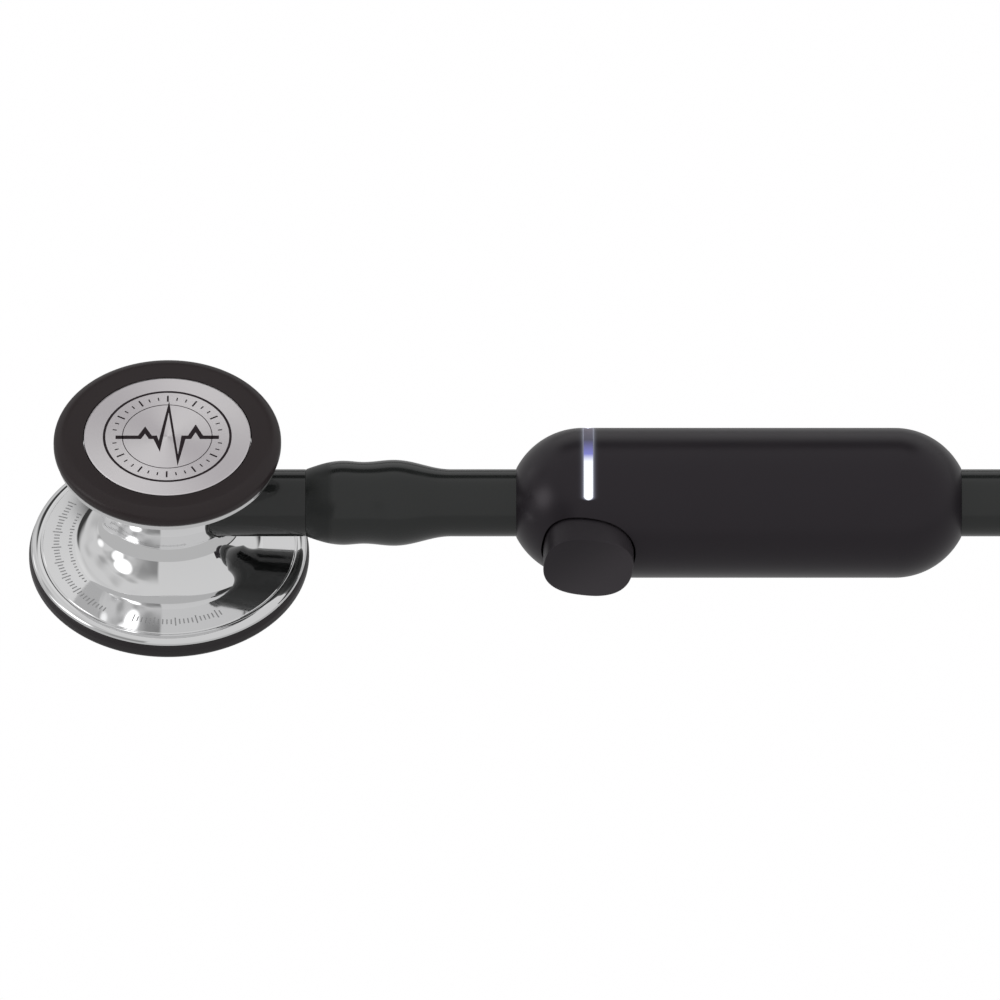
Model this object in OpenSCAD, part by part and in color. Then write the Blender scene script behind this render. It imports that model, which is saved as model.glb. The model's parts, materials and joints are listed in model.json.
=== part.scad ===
// Electronic stethoscope: double-sided chestpiece on a swivelling stem, a sound-amplifying
// module in the tubing, and a binaural headset.
// Origin: centre of the large side's face, which lies on the table. The chestpiece's axis is Z,
// and the stem's axis runs along +X above the origin. Millimetres, +Z up.

/* [Chestpiece] */
// Diameter over the large side's rim
large_d = 46.9; // [44:0.1:50]
// Diameter over the small side's rim
small_d = 37.9; // [36:0.1:40]
// Height of the large side's face below the stem axis
large_face_z = 14.3; // [14:0.1:15]
// Height of the small side's badge above the stem axis
small_face_z = 15.6; // [15:0.1:16.5]
// Radius of the hub's waist
waist_r = 8.9; // [8.6:0.1:10]

/* [Stem and tubing] */
// Outside diameter of the stem and of the tubing
tube_d = 11.2; // [10.8:0.1:11.6]
// Where the stem ends and the chest tube begins
stem_end_x = 22.9; // [22.9:0.1:24]
// Length of the main tube's loop radius
loop_r = 97; // [80:1:110]
// Turn of the main tube's loop
loop_turn = 180; // [120:5:180]
// Sideways distance that the tube covers while it drops to the table
drop_run = 40; // [36:1:60]

/* [Module] */
// Diameter of the capsule-shaped housing
module_d = 25; // [24.6:0.1:26]
// Distance between the centres of the housing's two round ends
module_run = 52; // [50:0.5:54]
// Centre of the housing's end that faces the chestpiece
module_x = 69.1; // [68:0.1:70]
// Wall thickness of the housing
wall = 1.5; // [1.3:0.1:1.6]
// Width of the light strip
light_w = 1.6; // [1.2:0.1:2]
// Angle of the light strip's ends above the horizontal
light_end_angle = 51; // [44:1:60]

/* [Mode button] */
// Length of the oval button
button_l = 15.2; // [14:0.1:15.4]
// Height of the oval button
button_h = 13.3; // [12.4:0.1:13.5]
// Turn of the oval about the button's axis
button_turn = -17; // [-22:1:18]
// Distance of the button's face from the housing's axis
button_face = 15.6; // [15:0.1:16]
// Travel of the button
button_travel = 1.2; // [0.8:0.1:1.2]

/* [Headset] */
// Radius of the tubing's two arms
arm_r = 4.5; // [4.3:0.1:5]
// Radius of the fork's U-shaped bend
fork_r = 14.6; // [14:0.1:18]
// Angle between each arm and the headset's middle line
arm_angle = 24; // [18:1:28]
// Length of each arm's straight part
arm_l = 45; // [42:1:55]
// Outside radius of the metal ear tubes
ear_tube_r = 3.1; // [3:0.1:3.3]
// Rise of the ear tube's ends out of the headset's plane
ear_rise = 18; // [0:1:25]

/* [Hidden] */
$fn = 64;
eps = 0.01;
slip = 0.05;              // running clearance, on the radius
arc_step = 7.5;           // degrees between the points of a curved outline

tube_r = tube_d / 2;
large_r = large_d / 2;
small_r = small_d / 2;
module_r = module_d / 2;
inner_r = module_r - wall;
module_end_x = module_x + module_run;

// Points of an ellipse's arc, from one angle to another
function arc(c, a, b, from, to) =
    let (n = max(1, round(abs(to - from) / arc_step)))
    [for (i = [0:n]) let (t = from + (to - from) * i / n) [c[0] + a * cos(t), c[1] + b * sin(t)]];

// Points of a cubic curve from a to d, without its first point
function bezier(a, b, c, d, n) =
    [for (i = [1:n]) let (t = i / n, u = 1 - t)
        u * u * u * a + 3 * u * u * t * b + 3 * u * t * t * c + t * t * t * d];

// Each piece is drawn with its heights counted from the stem's axis, then lifted onto the table
module lift() { translate([0, 0, large_face_z]) children(); }
// A solid of revolution about the X axis from [x, radius] points
module lathe_x(points) {
    rotate([0, 90, 0]) rotate_extrude() polygon([for (p = points) [p[1], p[0]]]);
}
module rod_x(x0, x1, r) { translate([x0, 0, 0]) rotate([0, 90, 0]) cylinder(r = r, h = x1 - x0); }
module rod_z(z0, z1, r) { translate([0, 0, z0]) cylinder(r = r, h = z1 - z0); }
module box(low, high) { translate(low) cube(high - low); }
// A ring about the X axis with a round section
module ring_x(x, major, minor) {
    translate([x, 0, 0]) rotate([0, 90, 0])
        rotate_extrude() translate([major, 0]) circle(r = minor, $fn = 32);
}
// A coil spring's wire, swept as a six-sided tube
module coil(r, wire, height, turns) {
    n = 12 * turns;
    points = [for (i = [0:n], j = [0:5])
        let (a = 30 * i, z = wire + (height - 2 * wire) * i / n, m = r + wire * cos(60 * j))
        [m * cos(a), m * sin(a), z + wire * sin(60 * j)]];
    near = [for (i = [0:n - 1], j = [0:5]) [6 * i + j, 6 * i + 6 + j, 6 * i + (j + 1) % 6]];
    far = [for (i = [0:n - 1], j = [0:5]) [6 * i + 6 + j, 6 * i + 6 + (j + 1) % 6, 6 * i + (j + 1) % 6]];
    caps = [for (j = [1:4]) each [[0, j, j + 1], [6 * n, 6 * n + j + 1, 6 * n + j]]];
    polyhedron(points, concat(near, far, caps));
}

// ---------- Chestpiece ----------
lip_z = -10.3;                           // chrome edge above the large rim
flange_r = 15.6;                         // where the large side's flat flange meets the hub's flare
flange_z = -9.4;
foot_r = 12.6;                           // where the flare's shallow foot steepens towards the waist
foot_z = -8.15;
foot_slope = 31;
skirt_r = large_r - 1.55;                // the wall that the large rim snaps over
skirt_z = -large_face_z + 1.7;
small_skirt_r = small_r - 1.35;
small_skirt_z = small_face_z - 1.5;
waist_z = -1;
spigot_r = 4.2;
hub_bore_r = spigot_r + slip;
hub_bore_x = -5;
shoulder_x = 6.25;                       // end of the stem's full-size barrel, inside the hub's counterbore
port_r = 1.7;
detent_x = 2.8;
detent_r = 0.8;
detent_track_r = 4.55;
detent_well_r = 7.5;
clip_x = -3.4;

module chestpiece_body() {
    lift() color([0.85, 0.86, 0.88]) difference() {
        rotate_extrude() polygon(concat(
            [[0, skirt_z], [skirt_r, skirt_z], [skirt_r, lip_z - 0.4], [large_r - 0.35, lip_z - 0.4]],
            arc([large_r - 1.9, lip_z - 0.1], 1.55, 0.85, 0, 90),
            [[21.3, -9.5], [21.2, -9.72], [21.0, -9.6], [flange_r, flange_z]],
            bezier([flange_r, flange_z], [flange_r - 1, flange_z + 0.1],
                [foot_r + 1.4 * cos(foot_slope), foot_z - 1.4 * sin(foot_slope)], [foot_r, foot_z], 6),
            bezier([foot_r, foot_z], [foot_r - 2.2 * cos(foot_slope), foot_z + 2.2 * sin(foot_slope)],
                [waist_r, waist_z - 3], [waist_r, waist_z], 8),
            arc([small_skirt_r, waist_z], small_skirt_r - waist_r, 11.7 - waist_z, 172.5, 90),
            arc([small_r - 0.95, 12.3], 0.55, 0.45, -60, 0),
            [[small_r - 0.4, 12.95], [small_skirt_r, 12.95]],
            [[small_skirt_r, small_skirt_z], [0, small_skirt_z]]
        ));
        rotate_extrude() polygon([[0, skirt_z - 1], [skirt_r - 1.7, skirt_z - 1], [skirt_r - 1.7, skirt_z],
            [2.5, -10.9], [0, -10.9]]);
        rotate_extrude() polygon([[0, small_skirt_z + 1], [small_skirt_r - 1.4, small_skirt_z + 1],
            [small_skirt_r - 1.4, small_skirt_z], [2.5, 12.5], [0, 12.5]]);
        rod_z(-12, 13, port_r);
        rod_x(hub_bore_x, shoulder_x, hub_bore_r);
        rod_x(shoulder_x - slip, large_r, tube_r + 0.1);
        rod_x(clip_x - 0.5, clip_x + 0.5, 4.8);
        translate([detent_x, 0, 0]) rotate([-90, 0, 0]) rod_z(0, detent_well_r, detent_r + slip);
    }
}

module large_rim() {
    lift() color([0.1, 0.1, 0.11]) rotate_extrude() polygon(concat(
        [[skirt_r + 0.01, lip_z - 0.45], [large_r - 0.38, lip_z - 0.45]],
        arc([large_r - 1.75, -12.2], 1.75, 1.7, 0, -90),
        [[19.6, -13.9], [19.6, -13.45], [skirt_r + 0.01, -13.45]]
    ));
}

module large_diaphragm() {
    lift() color([0.8, 0.8, 0.78]) union() {
        rod_z(-large_face_z, -13.1, 19.4);
        rod_z(-13.4, -13.1, 21.5);
    }
}

module small_rim() {
    lift() color([0.1, 0.1, 0.1]) rotate_extrude() polygon(concat(
        [[small_skirt_r + 0.01, 13], [small_r - 0.35, 13]],
        arc([small_r - 1.55, small_face_z - 1.3], 1.55, 1.65, -15, 90),
        [[14, small_face_z + 0.02], [14, 15.1], [small_skirt_r + 0.01, 15.1]]
    ));
}

module small_diaphragm() {
    lift() color([0.8, 0.8, 0.78]) union() {
        rod_z(14.55, 15.05, 17);
        rod_z(15, 15.25, 13.85);
    }
}

module small_badge() { lift() color([0.72, 0.71, 0.72]) rod_z(15.25, small_face_z, 13.85); }

module detent_ball() {
    lift() color("silver") translate([detent_x, detent_track_r, 0]) sphere(r = detent_r);
}

module detent_spring() {
    lift() color("silver") translate([detent_x, detent_track_r + detent_r + slip, 0]) rotate([-90, 0, 0])
        coil(0.55, 0.13, 1.9, 4);
}

module retaining_ring() { lift() color("silver") ring_x(clip_x, spigot_r, 0.4); }

// ---------- Stem and chest tube ----------
nipple_end_x = 46.5;
lumen_r = 1.8;
seal_x = 4.9;
swell_x = 29.2;                          // the first of the two swells that the stem's barbs raise
dip_x = 32.6;
swell_2_x = 37.6;
settle_x = 47.2;                         // where the tube is back to its own size
chest_tube_end_x = 60;
inlet_tip_x = 51;
connector_r = 3;

// Eases from one height to another with flat ends
function ease(x, x0, x1, y0, y1) = y0 + (y1 - y0) * (1 - cos(180 * (x - x0) / (x1 - x0))) / 2;
// Outside radius of the chest tube, stretched over the stem's two barbs
function chest_tube_radius(x) =
    x < swell_x ? tube_r + 1.42 * sin(90 * (x - stem_end_x) / (swell_x - stem_end_x)) :
    x < dip_x ? ease(x, swell_x, dip_x, tube_r + 1.42, tube_r + 1.22) :
    x < swell_2_x ? ease(x, dip_x, swell_2_x, tube_r + 1.22, tube_r + 1.57) :
    x < settle_x ? ease(x, swell_2_x, settle_x, tube_r + 1.57, tube_r) : tube_r;
// Outside radius of the barbed nipple, which fills the stretched tube's bore
function nipple_radius(x) =
    x < swell_x ? ease(x, stem_end_x, swell_x, 4, 4.85) :
    x < dip_x ? ease(x, swell_x, dip_x, 4.85, 4.5) :
    x < swell_2_x ? ease(x, dip_x, swell_2_x, 4.5, 4.95) : ease(x, swell_2_x, nipple_end_x, 4.95, 3);
nipple_xs = [for (i = [0:18]) stem_end_x + (nipple_end_x - stem_end_x) * i / 18];

module stem() {
    lift() color([0.13, 0.13, 0.14]) difference() {
        union() {
            rod_x(hub_bore_x + 0.4, shoulder_x, spigot_r);
            rod_x(shoulder_x, stem_end_x, tube_r);
            lathe_x(concat([[stem_end_x, 0]], [for (x = nipple_xs) [x, nipple_radius(x)]],
                [[nipple_end_x, 0]]));
        }
        rod_x(-1.5, nipple_end_x + 1, lumen_r);
        rotate([180, 0, 0]) rod_z(0, spigot_r + 1, 1.6);
        rod_x(clip_x - 0.45, clip_x + 0.45, 6);
        rod_x(seal_x - 0.5, seal_x + 0.5, 6);
        ring_x(detent_x, detent_track_r, detent_r + slip);
        for (side = [-1, 1]) translate([detent_x, side * 4.3, 0]) sphere(r = detent_r + slip);
    }
    lift() color([0.13, 0.13, 0.14]) difference() {
        union() {
            rod_x(clip_x - 0.45, clip_x + 0.45, 3.75);
            rod_x(seal_x - 0.5, seal_x + 0.5, 3.5);
        }
        rod_x(-1.5, nipple_end_x, lumen_r);
    }
}

module stem_seal() { lift() color([0.08, 0.08, 0.08]) ring_x(seal_x, 3.87, 0.36); }

module chest_tube() {
    outer_xs = [for (i = [0:24]) stem_end_x + (settle_x - stem_end_x) * i / 24];
    lift() color([0.17, 0.18, 0.18]) difference() {
        lathe_x(concat([[stem_end_x + slip, 0]],
            [for (x = outer_xs) [max(x, stem_end_x + slip), chest_tube_radius(x)]],
            [[chest_tube_end_x, tube_r], [chest_tube_end_x, 0]]));
        lathe_x(concat([[stem_end_x - 1, 0], [stem_end_x - 1, 4 + slip]],
            [for (x = nipple_xs) [x, nipple_radius(x) + slip]], [[nipple_end_x, 0]]));
        for (side = [-1, 1]) translate([0, side * 2.2, 0]) rod_x(nipple_end_x - 1, inlet_tip_x + 1, 1.5);
        rod_x(inlet_tip_x - slip, chest_tube_end_x + 1, connector_r + 0.02);
    }
}

// ---------- Module ----------
tube_hole_r = tube_r + 0.1;
flange_gap = 8.9;                        // from a round end's centre to its connector's flange
cover_x0 = 78;
cover_x1 = 116;
cover_z = -9.9;
seal_t = 0.3;
screw_xs = [80.5, 113.5];
screw_y = 3;
led_x = 70;
light_inner_r = 9.6;
board_y = 5.2;
board_t = 0.8;
volume_xs = [86, 98];
volume_l = 9;
volume_h = 4.6;
volume_face = module_r + 0.5;
socket_x = 111;
guide_z = 7.2;                           // depths along the mode button's axis, from the housing's axis
button_skirt = 9;
button_hole_gap = 0.35;

module capsule(r) {
    lathe_x(concat([[module_x - r, 0]], arc([module_x, 0], r, r, 176.25, 90),
        arc([module_end_x, 0], r, r, 90, 3.75), [[module_end_x + r, 0]]));
}
// An oval bar with its length along X and its height along Y
module oval(l, h, depth) {
    for (side = [-1, 1]) translate([side * (l - h) / 2, 0, 0]) cylinder(r = h / 2, h = depth);
    translate([-(l - h) / 2, -h / 2, 0]) cube([l - h, h, depth]);
}
module facing_front(x) { translate([x, 0, 0]) rotate([90, 0, 0]) children(); }
module facing_back(x) { translate([x, 0, 0]) rotate([-90, 0, 0]) children(); }
module at_screws() { for (x = screw_xs, y = [-screw_y, screw_y]) translate([x, y, 0]) children(); }
// The curved bar that fills the light strip's slot: an arc over the top with round ends
module light_bar(w, r0, r1) {
    translate([led_x, 0, 0]) rotate([90, 0, 90]) union() {
        rotate([0, 0, light_end_angle]) rotate_extrude(angle = 180 - 2 * light_end_angle)
            translate([r0, -w / 2]) square([r1 - r0, w]);
        for (a = [light_end_angle, 180 - light_end_angle])
            rotate([0, 90, a]) rod_z(r0 + 0.1, r1 + 0.3, w / 2 - 0.02);
    }
}

module housing() {
    lift() color([0.15, 0.14, 0.15]) difference() {
        union() {
            difference() {
                rotate([135, 0, 0]) capsule(module_r);
                rotate([90, 0, 0]) capsule(inner_r);
                box([cover_x0, -module_r, -module_r - 1], [cover_x1, module_r, cover_z + seal_t]);
            }
            for (x = screw_xs) intersection() {
                capsule(module_r - wall / 2);
                box([x - 2, -module_r, cover_z + seal_t], [x + 2, module_r, cover_z + seal_t + 2]);
            }
        }
        rod_x(module_x - module_r - 1, module_x, tube_hole_r);
        rod_x(module_end_x, module_end_x + module_r + 1, tube_hole_r);
        light_bar(light_w, inner_r - 1, module_r + 1);
        facing_front(led_x) rotate([0, 0, button_turn])
            oval(button_l + 2 * button_hole_gap, button_h + 2 * button_hole_gap, module_r + 1);
        for (x = volume_xs) facing_back(x) oval(volume_l + 0.3, volume_h + 0.3, module_r + 1);
        facing_back(socket_x) oval(9.3, 3.5, module_r + 1);
        at_screws() rod_z(cover_z, cover_z + 3, 0.8);
    }
}

module bottom_cover() {
    lift() color([0.15, 0.14, 0.15]) difference() {
        union() {
            intersection() {
                difference() {
                    rod_x(cover_x0 + 0.1, cover_x1 - 0.1, module_r);
                    rod_x(cover_x0, cover_x1, inner_r);
                }
                box([cover_x0, -module_r, -module_r - 1], [cover_x1, module_r, cover_z]);
            }
            at_screws() intersection() {
                rod_z(-module_r, cover_z, 1.9);
                translate([0, 0, 0]) box([-5, -6, -12.1], [5, 6, cover_z]);
            }
        }
        at_screws() rod_z(-module_r - 1, cover_z + 1, 0.95);
        at_screws() rod_z(-module_r - 1, -10.8, 1.4);
    }
}

module cover_seal() {
    lift() color([0.25, 0.25, 0.27]) difference() {
        box([cover_x0 + 0.3, -7.6, cover_z], [cover_x1 - 0.3, 7.6, cover_z + seal_t]);
        box([cover_x0 + 1.3, -5.2, cover_z - 1], [cover_x1 - 1.3, 5.2, cover_z + 1]);
    }
}

module cover_screws() {
    lift() color("dimgray") at_screws() difference() {
        union() {
            rod_z(-11.7, -10.8, 1.35);
            rod_z(-10.8, -8.2, 0.79);
        }
        rod_z(-12, -11.3, 0.7, $fn = 6);
    }
}

module light_pipe() {
    lift() color([0.8, 0.88, 1]) intersection() {
        light_bar(light_w - 0.04, light_inner_r, module_r + 1);
        rod_x(led_x - 2, led_x + 2, module_r);
    }
}

module led_board() { lift() color("darkgreen") box([66, -4.5, 7.6], [74, 4.5, 8.2]); }

module indicator_leds() {
    lift() color("white") for (y = [-3, 0, 3]) box([led_x - 0.5, y - 0.8, 8.2], [led_x + 0.5, y + 0.8, 8.9]);
}

module circuit_board() {
    lift() color("darkgreen") difference() {
        box([78, board_y, -7.4], [117, board_y + board_t, 7.4]);
        for (x = [80.5, 114.5], z = [-5.6, 5.6])
            facing_back(x) translate([0, -z, 0]) cylinder(r = 0.9, h = 10);
    }
}

module radio_chip() { lift() color([0.12, 0.12, 0.12]) box([90, board_y - 1, -3], [96, board_y, 3]); }

module battery() {
    lift() color("silver") intersection() {
        box([82, -9, -5.2], [112, -4, 5.2]);
        rod_x(80, 115, 10.3);
    }
}

module acoustic_duct() {
    lift() color("dimgray") difference() {
        rod_x(66.05, 118.2, 2.6);
        rod_x(66, 119, lumen_r);
    }
}

module inlet_connector() {
    lift() color([0.3, 0.3, 0.32]) difference() {
        union() {
            rod_x(inlet_tip_x, 60.2, connector_r);
            lathe_x([[60.2, 0], [60.2, 6], [62.4, 7], [62.4, 5], [66, 5], [66, 0]]);
        }
        rod_x(inlet_tip_x - 1, 67, lumen_r);
        translate([64.2, 0, 0]) rod_z(3.5, 7, 1.62);
        translate([64.2, 0, 0]) rod_z(0, 4, 0.6);
    }
}

module outlet_connector() {
    x0 = module_end_x + flange_gap;
    lift() color([0.3, 0.3, 0.32]) difference() {
        union() {
            rod_x(x0, x0 + 9, connector_r);
            lathe_x([[118.25, 0], [118.25, 4.2], [x0 - 2.2, 4.2], [x0 - 2.2, 7], [x0, 6], [x0, 0]]);
        }
        rod_x(118, x0 + 10, lumen_r);
        translate([122.5, 0, 0]) rod_z(0, 5, 0.8);
    }
}

module microphone() { lift() color("silver") translate([64.2, 0, 0]) rod_z(3.55, 5.9, 1.6); }

module speaker() {
    lift() color([0.2, 0.2, 0.22]) translate([122.5, 0, 0]) difference() {
        rod_z(4.3, 7.3, 3.8);
        rod_z(4, 5, 0.8);
    }
}

module button_guide() {
    lift() color([0.3, 0.3, 0.32]) difference() {
        intersection() {
            facing_front(led_x) translate([0, 0, guide_z]) cylinder(r = 7.6, h = 0.5);
            rod_x(led_x - 9, led_x + 9, inner_r - 0.1);
            box([led_x - 9, -10, -8], [led_x + 9, 0, 6.2]);
        }
        facing_front(led_x) cylinder(r = 2.1, h = module_r);
    }
}

module button_spring() {
    lift() color("silver") facing_front(led_x) translate([0, 0, guide_z + 0.6]) coil(3.2, 0.35, 5.7, 4);
}

module switch_board() { lift() color("darkgreen") box([66.3, -3.7, -6], [77, -2.9, 6]); }

module mode_switch() {
    lift() color("dimgray") union() {
        box([led_x - 3, -5.3, -3], [led_x + 3, -3.7, 3]);
        facing_front(led_x) translate([0, 0, 5.2]) cylinder(r = 1.7, h = 0.3);
    }
}

module charging_socket() {
    lift() color("silver") facing_back(socket_x) union() {
        difference() {
            translate([0, 0, board_y + board_t]) oval(8.9, 3.2, module_r - 0.6 - board_y - board_t);
            translate([0, 0, board_y + board_t + 0.5]) oval(8.3, 2.6, module_r);
        }
        translate([-3, -0.35, board_y + board_t + 0.4]) cube([6, 0.7, 4.4]);
    }
}

module volume_switches() {
    lift() color("dimgray") for (x = volume_xs) facing_back(x) union() {
        translate([-2.2, -2.2, board_y + board_t]) cube([4.4, 4.4, 1.4]);
        translate([0, 0, board_y + board_t + 1.3]) cylinder(r = 1.2, h = 0.6);
    }
}

// A cup with a slightly domed face, and a plunger whose snap head holds it in the guide
module mode_button() {
    lift() color([0.2, 0.2, 0.21]) facing_front(led_x) union() {
        difference() {
            intersection() {
                rotate([0, 0, button_turn]) translate([0, 0, button_skirt])
                    oval(button_l, button_h, button_face - button_skirt);
                translate([0, 0, button_face - 60]) sphere(r = 60, $fn = 128);
            }
            rotate([0, 0, button_turn]) translate([0, 0, button_skirt - 1])
                oval(button_l - 2.6, button_h - 2.6, button_face - button_skirt - 1);
        }
        translate([0, 0, guide_z - 0.1]) cylinder(r = 2, h = button_face - guide_z - 1.5);
        translate([0, 0, guide_z - 0.45]) cylinder(r = 2.35, h = 0.4);
    }
}

module volume_button(x) {
    lift() color([0.2, 0.2, 0.21]) union() {
        intersection() {
            facing_back(x) translate([0, 0, 10.2]) oval(volume_l, volume_h, 4);
            rod_x(x - volume_l, x + volume_l, volume_face);
        }
        facing_back(x) translate([0, 0, 9.9]) oval(volume_l + 1.4, volume_h + 1.4, 0.4);
        facing_back(x) translate([0, 0, 8.6]) cylinder(r = 1.2, h = 1.8);
    }
}
module volume_up_button() { volume_button(volume_xs[1]); }
module volume_down_button() { volume_button(volume_xs[0]); }

// ---------- Main tube and headset ----------
// Each step draws its stretch of tube along the local X axis, then places what follows it.
main_tube_x = module_end_x + flange_gap + slip;
table_z = -large_face_z + tube_r;        // tube centre height where the tube lies on the table
drop_link = 1;                           // short straight stretch between the two turns of the drop
drop_angle = 2 * atan(-table_z / drop_run);
drop_r = (-table_z - drop_link * sin(drop_angle)) / 2 / (1 - cos(drop_angle));
loop_x = main_tube_x + 10 + 2 * drop_r * sin(drop_angle) + drop_link * cos(drop_angle) + 1;
fork_x = 22;                             // centre of the fork's U, along the headset's middle line
fork_half_angle = 90 - arm_angle;
arm_inset = 14;                          // length of ear tube held inside each arm
spring_offset = 2.6;
spring_t = 0.5;
spring_h = 4.4;
spring_l = 28;

// Straight stretches reach a little into the turns on both sides, whose section is a hair smaller
lap = 0.1;
module straight(l) { translate([-lap, 0, 0]) rotate([90, 0, 90]) linear_extrude(l + 2 * lap) children(); }
module turn(r, angle) {
    mirror([0, angle < 0 ? 1 : 0, 0]) translate([0, r, 0]) rotate([0, 0, -90])
        rotate_extrude(angle = abs(angle), $fn = 96) translate([r, 0]) children();
}
module after_straight(l) { translate([l, 0, 0]) children(); }
module after_turn(r, angle) {
    translate([r * sin(abs(angle)), sign(angle) * r * (1 - cos(angle)), 0]) rotate([0, 0, angle]) children();
}
module roll(angle) { rotate([angle, 0, 0]) children(); }

// From the module's outlet to the frame of the headset: the tube's end, heading along the middle line
module to_headset() {
    translate([loop_x, 0, table_z]) after_turn(loop_r, loop_turn) children();
}

// Children: the section of straight stretches, of the upright turns, of the loop
module trunk() {
    translate([main_tube_x + lap, 0, 0]) {
        straight(10 - lap) children(0);
        after_straight(10 - lap) roll(-90) {
            turn(drop_r, drop_angle) children(1);
            after_turn(drop_r, drop_angle) {
                straight(drop_link) children(2);
                after_straight(drop_link) turn(drop_r, -drop_angle) children(1);
            }
        }
    }
    translate([loop_x - 1, 0, table_z]) straight(1) children(0);
    translate([loop_x, 0, table_z]) turn(loop_r, loop_turn) children(3);
}
module circles(r, y) { for (side = [-1, 1]) translate([side * y, 0]) circle(r = r, $fn = 32); }

// Sweeps a section along the fork's U
module fork_bend(r) {
    translate([fork_x, 0, 0]) rotate([0, 0, 180 - fork_half_angle])
        rotate_extrude(angle = 2 * fork_half_angle)
        translate([r, 0]) children();
}
// Places its children at the end of the U, heading along one arm
module to_arm(r) {
    translate([fork_x, 0, 0]) rotate([0, 0, 90 + arm_angle])
        translate([r, 0, 0]) rotate([0, 0, -90]) children();
}
module both_sides() {
    children();
    mirror([0, 1, 0]) children();
}

module spring_line(t, h, l) {
    fork_bend(fork_r - spring_offset) square([t, h], center = true);
    both_sides() to_arm(fork_r - spring_offset) straight(l) square([t, h], center = true);
}

// Children: the section of the bend, the section of the straight part
module arms(l) {
    fork_bend(fork_r) children(0);
    both_sides() to_arm(fork_r) straight(l) children(1);
}

module y_tubing() {
    fork_base_x = fork_x - fork_r;
    lift() color([0.17, 0.18, 0.18]) difference() {
        union() {
            trunk() {
                circle(r = tube_r);
                circle(r = tube_r - 0.03);
                circle(r = tube_r);
                circle(r = tube_r - 0.03);
            }
            to_headset() {
                straight(fork_base_x + 1.5) circle(r = tube_r);
                arms(arm_l) {
                    circle(r = arm_r - 0.03);
                    circle(r = arm_r);
                }
            }
        }
        trunk() {
            circles(1.5, 2.2);
            rotate(90) circles(1.53, 2.2);
            rotate(90) circles(1.5, 2.2);
            circles(1.53, 2.2);
        }
        rod_x(main_tube_x - 1, main_tube_x + 9, connector_r + 0.02);
        to_headset() {
            straight(fork_base_x) circles(1.5, 2.2);
            arms(arm_l + 1) {
                circle(r = 1.63);
                circle(r = 1.6);
            }
            both_sides() to_arm(fork_r) rod_x(arm_l - arm_inset, arm_l + 1, 2.42);
            spring_line(spring_t + 2 * slip, spring_h + 2 * slip, spring_l + slip);
        }
    }
}

module leaf_spring() { lift() color("silver") to_headset() spring_line(spring_t, spring_h, spring_l); }

ear_start = arm_l + 0.25;                // the ear tube's shoulder, just clear of the arm's end
ear_straight = 38;
ear_bend_r = 65;
ear_bend = -(arm_angle + 26);
ear_tip_straight = 8;
ear_end_r = 20;
ear_end_bend = -36;

// Runs its children at the end of the ear tube, heading out of it
module to_ear_end() {
    to_arm(fork_r) after_straight(ear_start + ear_straight) after_turn(ear_bend_r, ear_bend)
        after_straight(ear_tip_straight) roll(-ear_rise)
        after_turn(ear_end_r, ear_end_bend) after_straight(6) children();
}

// Children: the section of straight stretches, of the turns
module ear_line() {
    to_arm(fork_r) after_straight(ear_start) {
        straight(ear_straight) children(0);
        after_straight(ear_straight) {
            turn(ear_bend_r, ear_bend) children(1);
            after_turn(ear_bend_r, ear_bend) {
                straight(ear_tip_straight) children(0);
                after_straight(ear_tip_straight) roll(-ear_rise) {
                    turn(ear_end_r, ear_end_bend) children(1);
                    after_turn(ear_end_r, ear_end_bend) straight(6 - lap) children(0);
                }
            }
        }
    }
}

module ear_tube() {
    lift() color([0.14, 0.14, 0.15]) difference() {
        union() {
            to_arm(fork_r) rod_x(arm_l - arm_inset + slip, ear_start + lap, 2.4);
            ear_line() {
                circle(r = ear_tube_r);
                circle(r = ear_tube_r - 0.03);
            }
        }
        to_arm(fork_r) rod_x(arm_l - arm_inset, arm_l + 1, 1.5);
        ear_line() {
            circle(r = 1.6);
            circle(r = 1.63);
        }
        to_ear_end() rod_x(-1, 1, 1.6);
    }
}

module ear_ferrule() {
    lift() color([0.5, 0.5, 0.52]) to_ear_end() difference() {
        lathe_x([[-5, 0], [-5, 3.7], [-4.6, 3.9], [0.4, 3.9], [0.8, 3.7], [0.8, 2.9], [3.4, 2.9], [3.8, 3.15],
            [4.2, 2.9], [4.8, 2.7], [4.8, 0]]);
        rod_x(-6, 0, ear_tube_r + 0.01);
        rod_x(-1, 5, 1.9);
    }
}

module eartip() {
    lift() color([0.12, 0.12, 0.13]) to_ear_end() difference() {
        lathe_x(concat([[0.85, 0], [0.85, 3.9]],
            arc([7, 3.2], 5.4, 2.6, 160, 90), arc([7, 2.2], 7.6, 3.6, 82.5, 15),
            [[14.1, 2], [14.1, 0]]));
        rod_x(-1, 4.9, 3.2);
        rod_x(-1, 15, 1.5);
    }
}

module right_ear_tube() { to_headset() ear_tube(); }
module right_ear_ferrule() { to_headset() ear_ferrule(); }
module right_eartip() { to_headset() eartip(); }
module left_ear_tube() { to_headset() mirror([0, 1, 0]) ear_tube(); }
module left_ear_ferrule() { to_headset() mirror([0, 1, 0]) ear_ferrule(); }
module left_eartip() { to_headset() mirror([0, 1, 0]) eartip(); }

chestpiece_body();
large_rim();
large_diaphragm();
small_rim();
small_diaphragm();
small_badge();
detent_ball();
detent_spring();
retaining_ring();
stem();
stem_seal();
chest_tube();
housing();
bottom_cover();
cover_seal();
cover_screws();
light_pipe();
led_board();
indicator_leds();
circuit_board();
radio_chip();
battery();
acoustic_duct();
inlet_connector();
outlet_connector();
microphone();
speaker();
button_guide();
button_spring();
switch_board();
mode_switch();
charging_socket();
volume_switches();
mode_button();
volume_up_button();
volume_down_button();
y_tubing();
leaf_spring();
left_ear_tube();
left_ear_ferrule();
left_eartip();
right_ear_tube();
right_ear_ferrule();
right_eartip();
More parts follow.
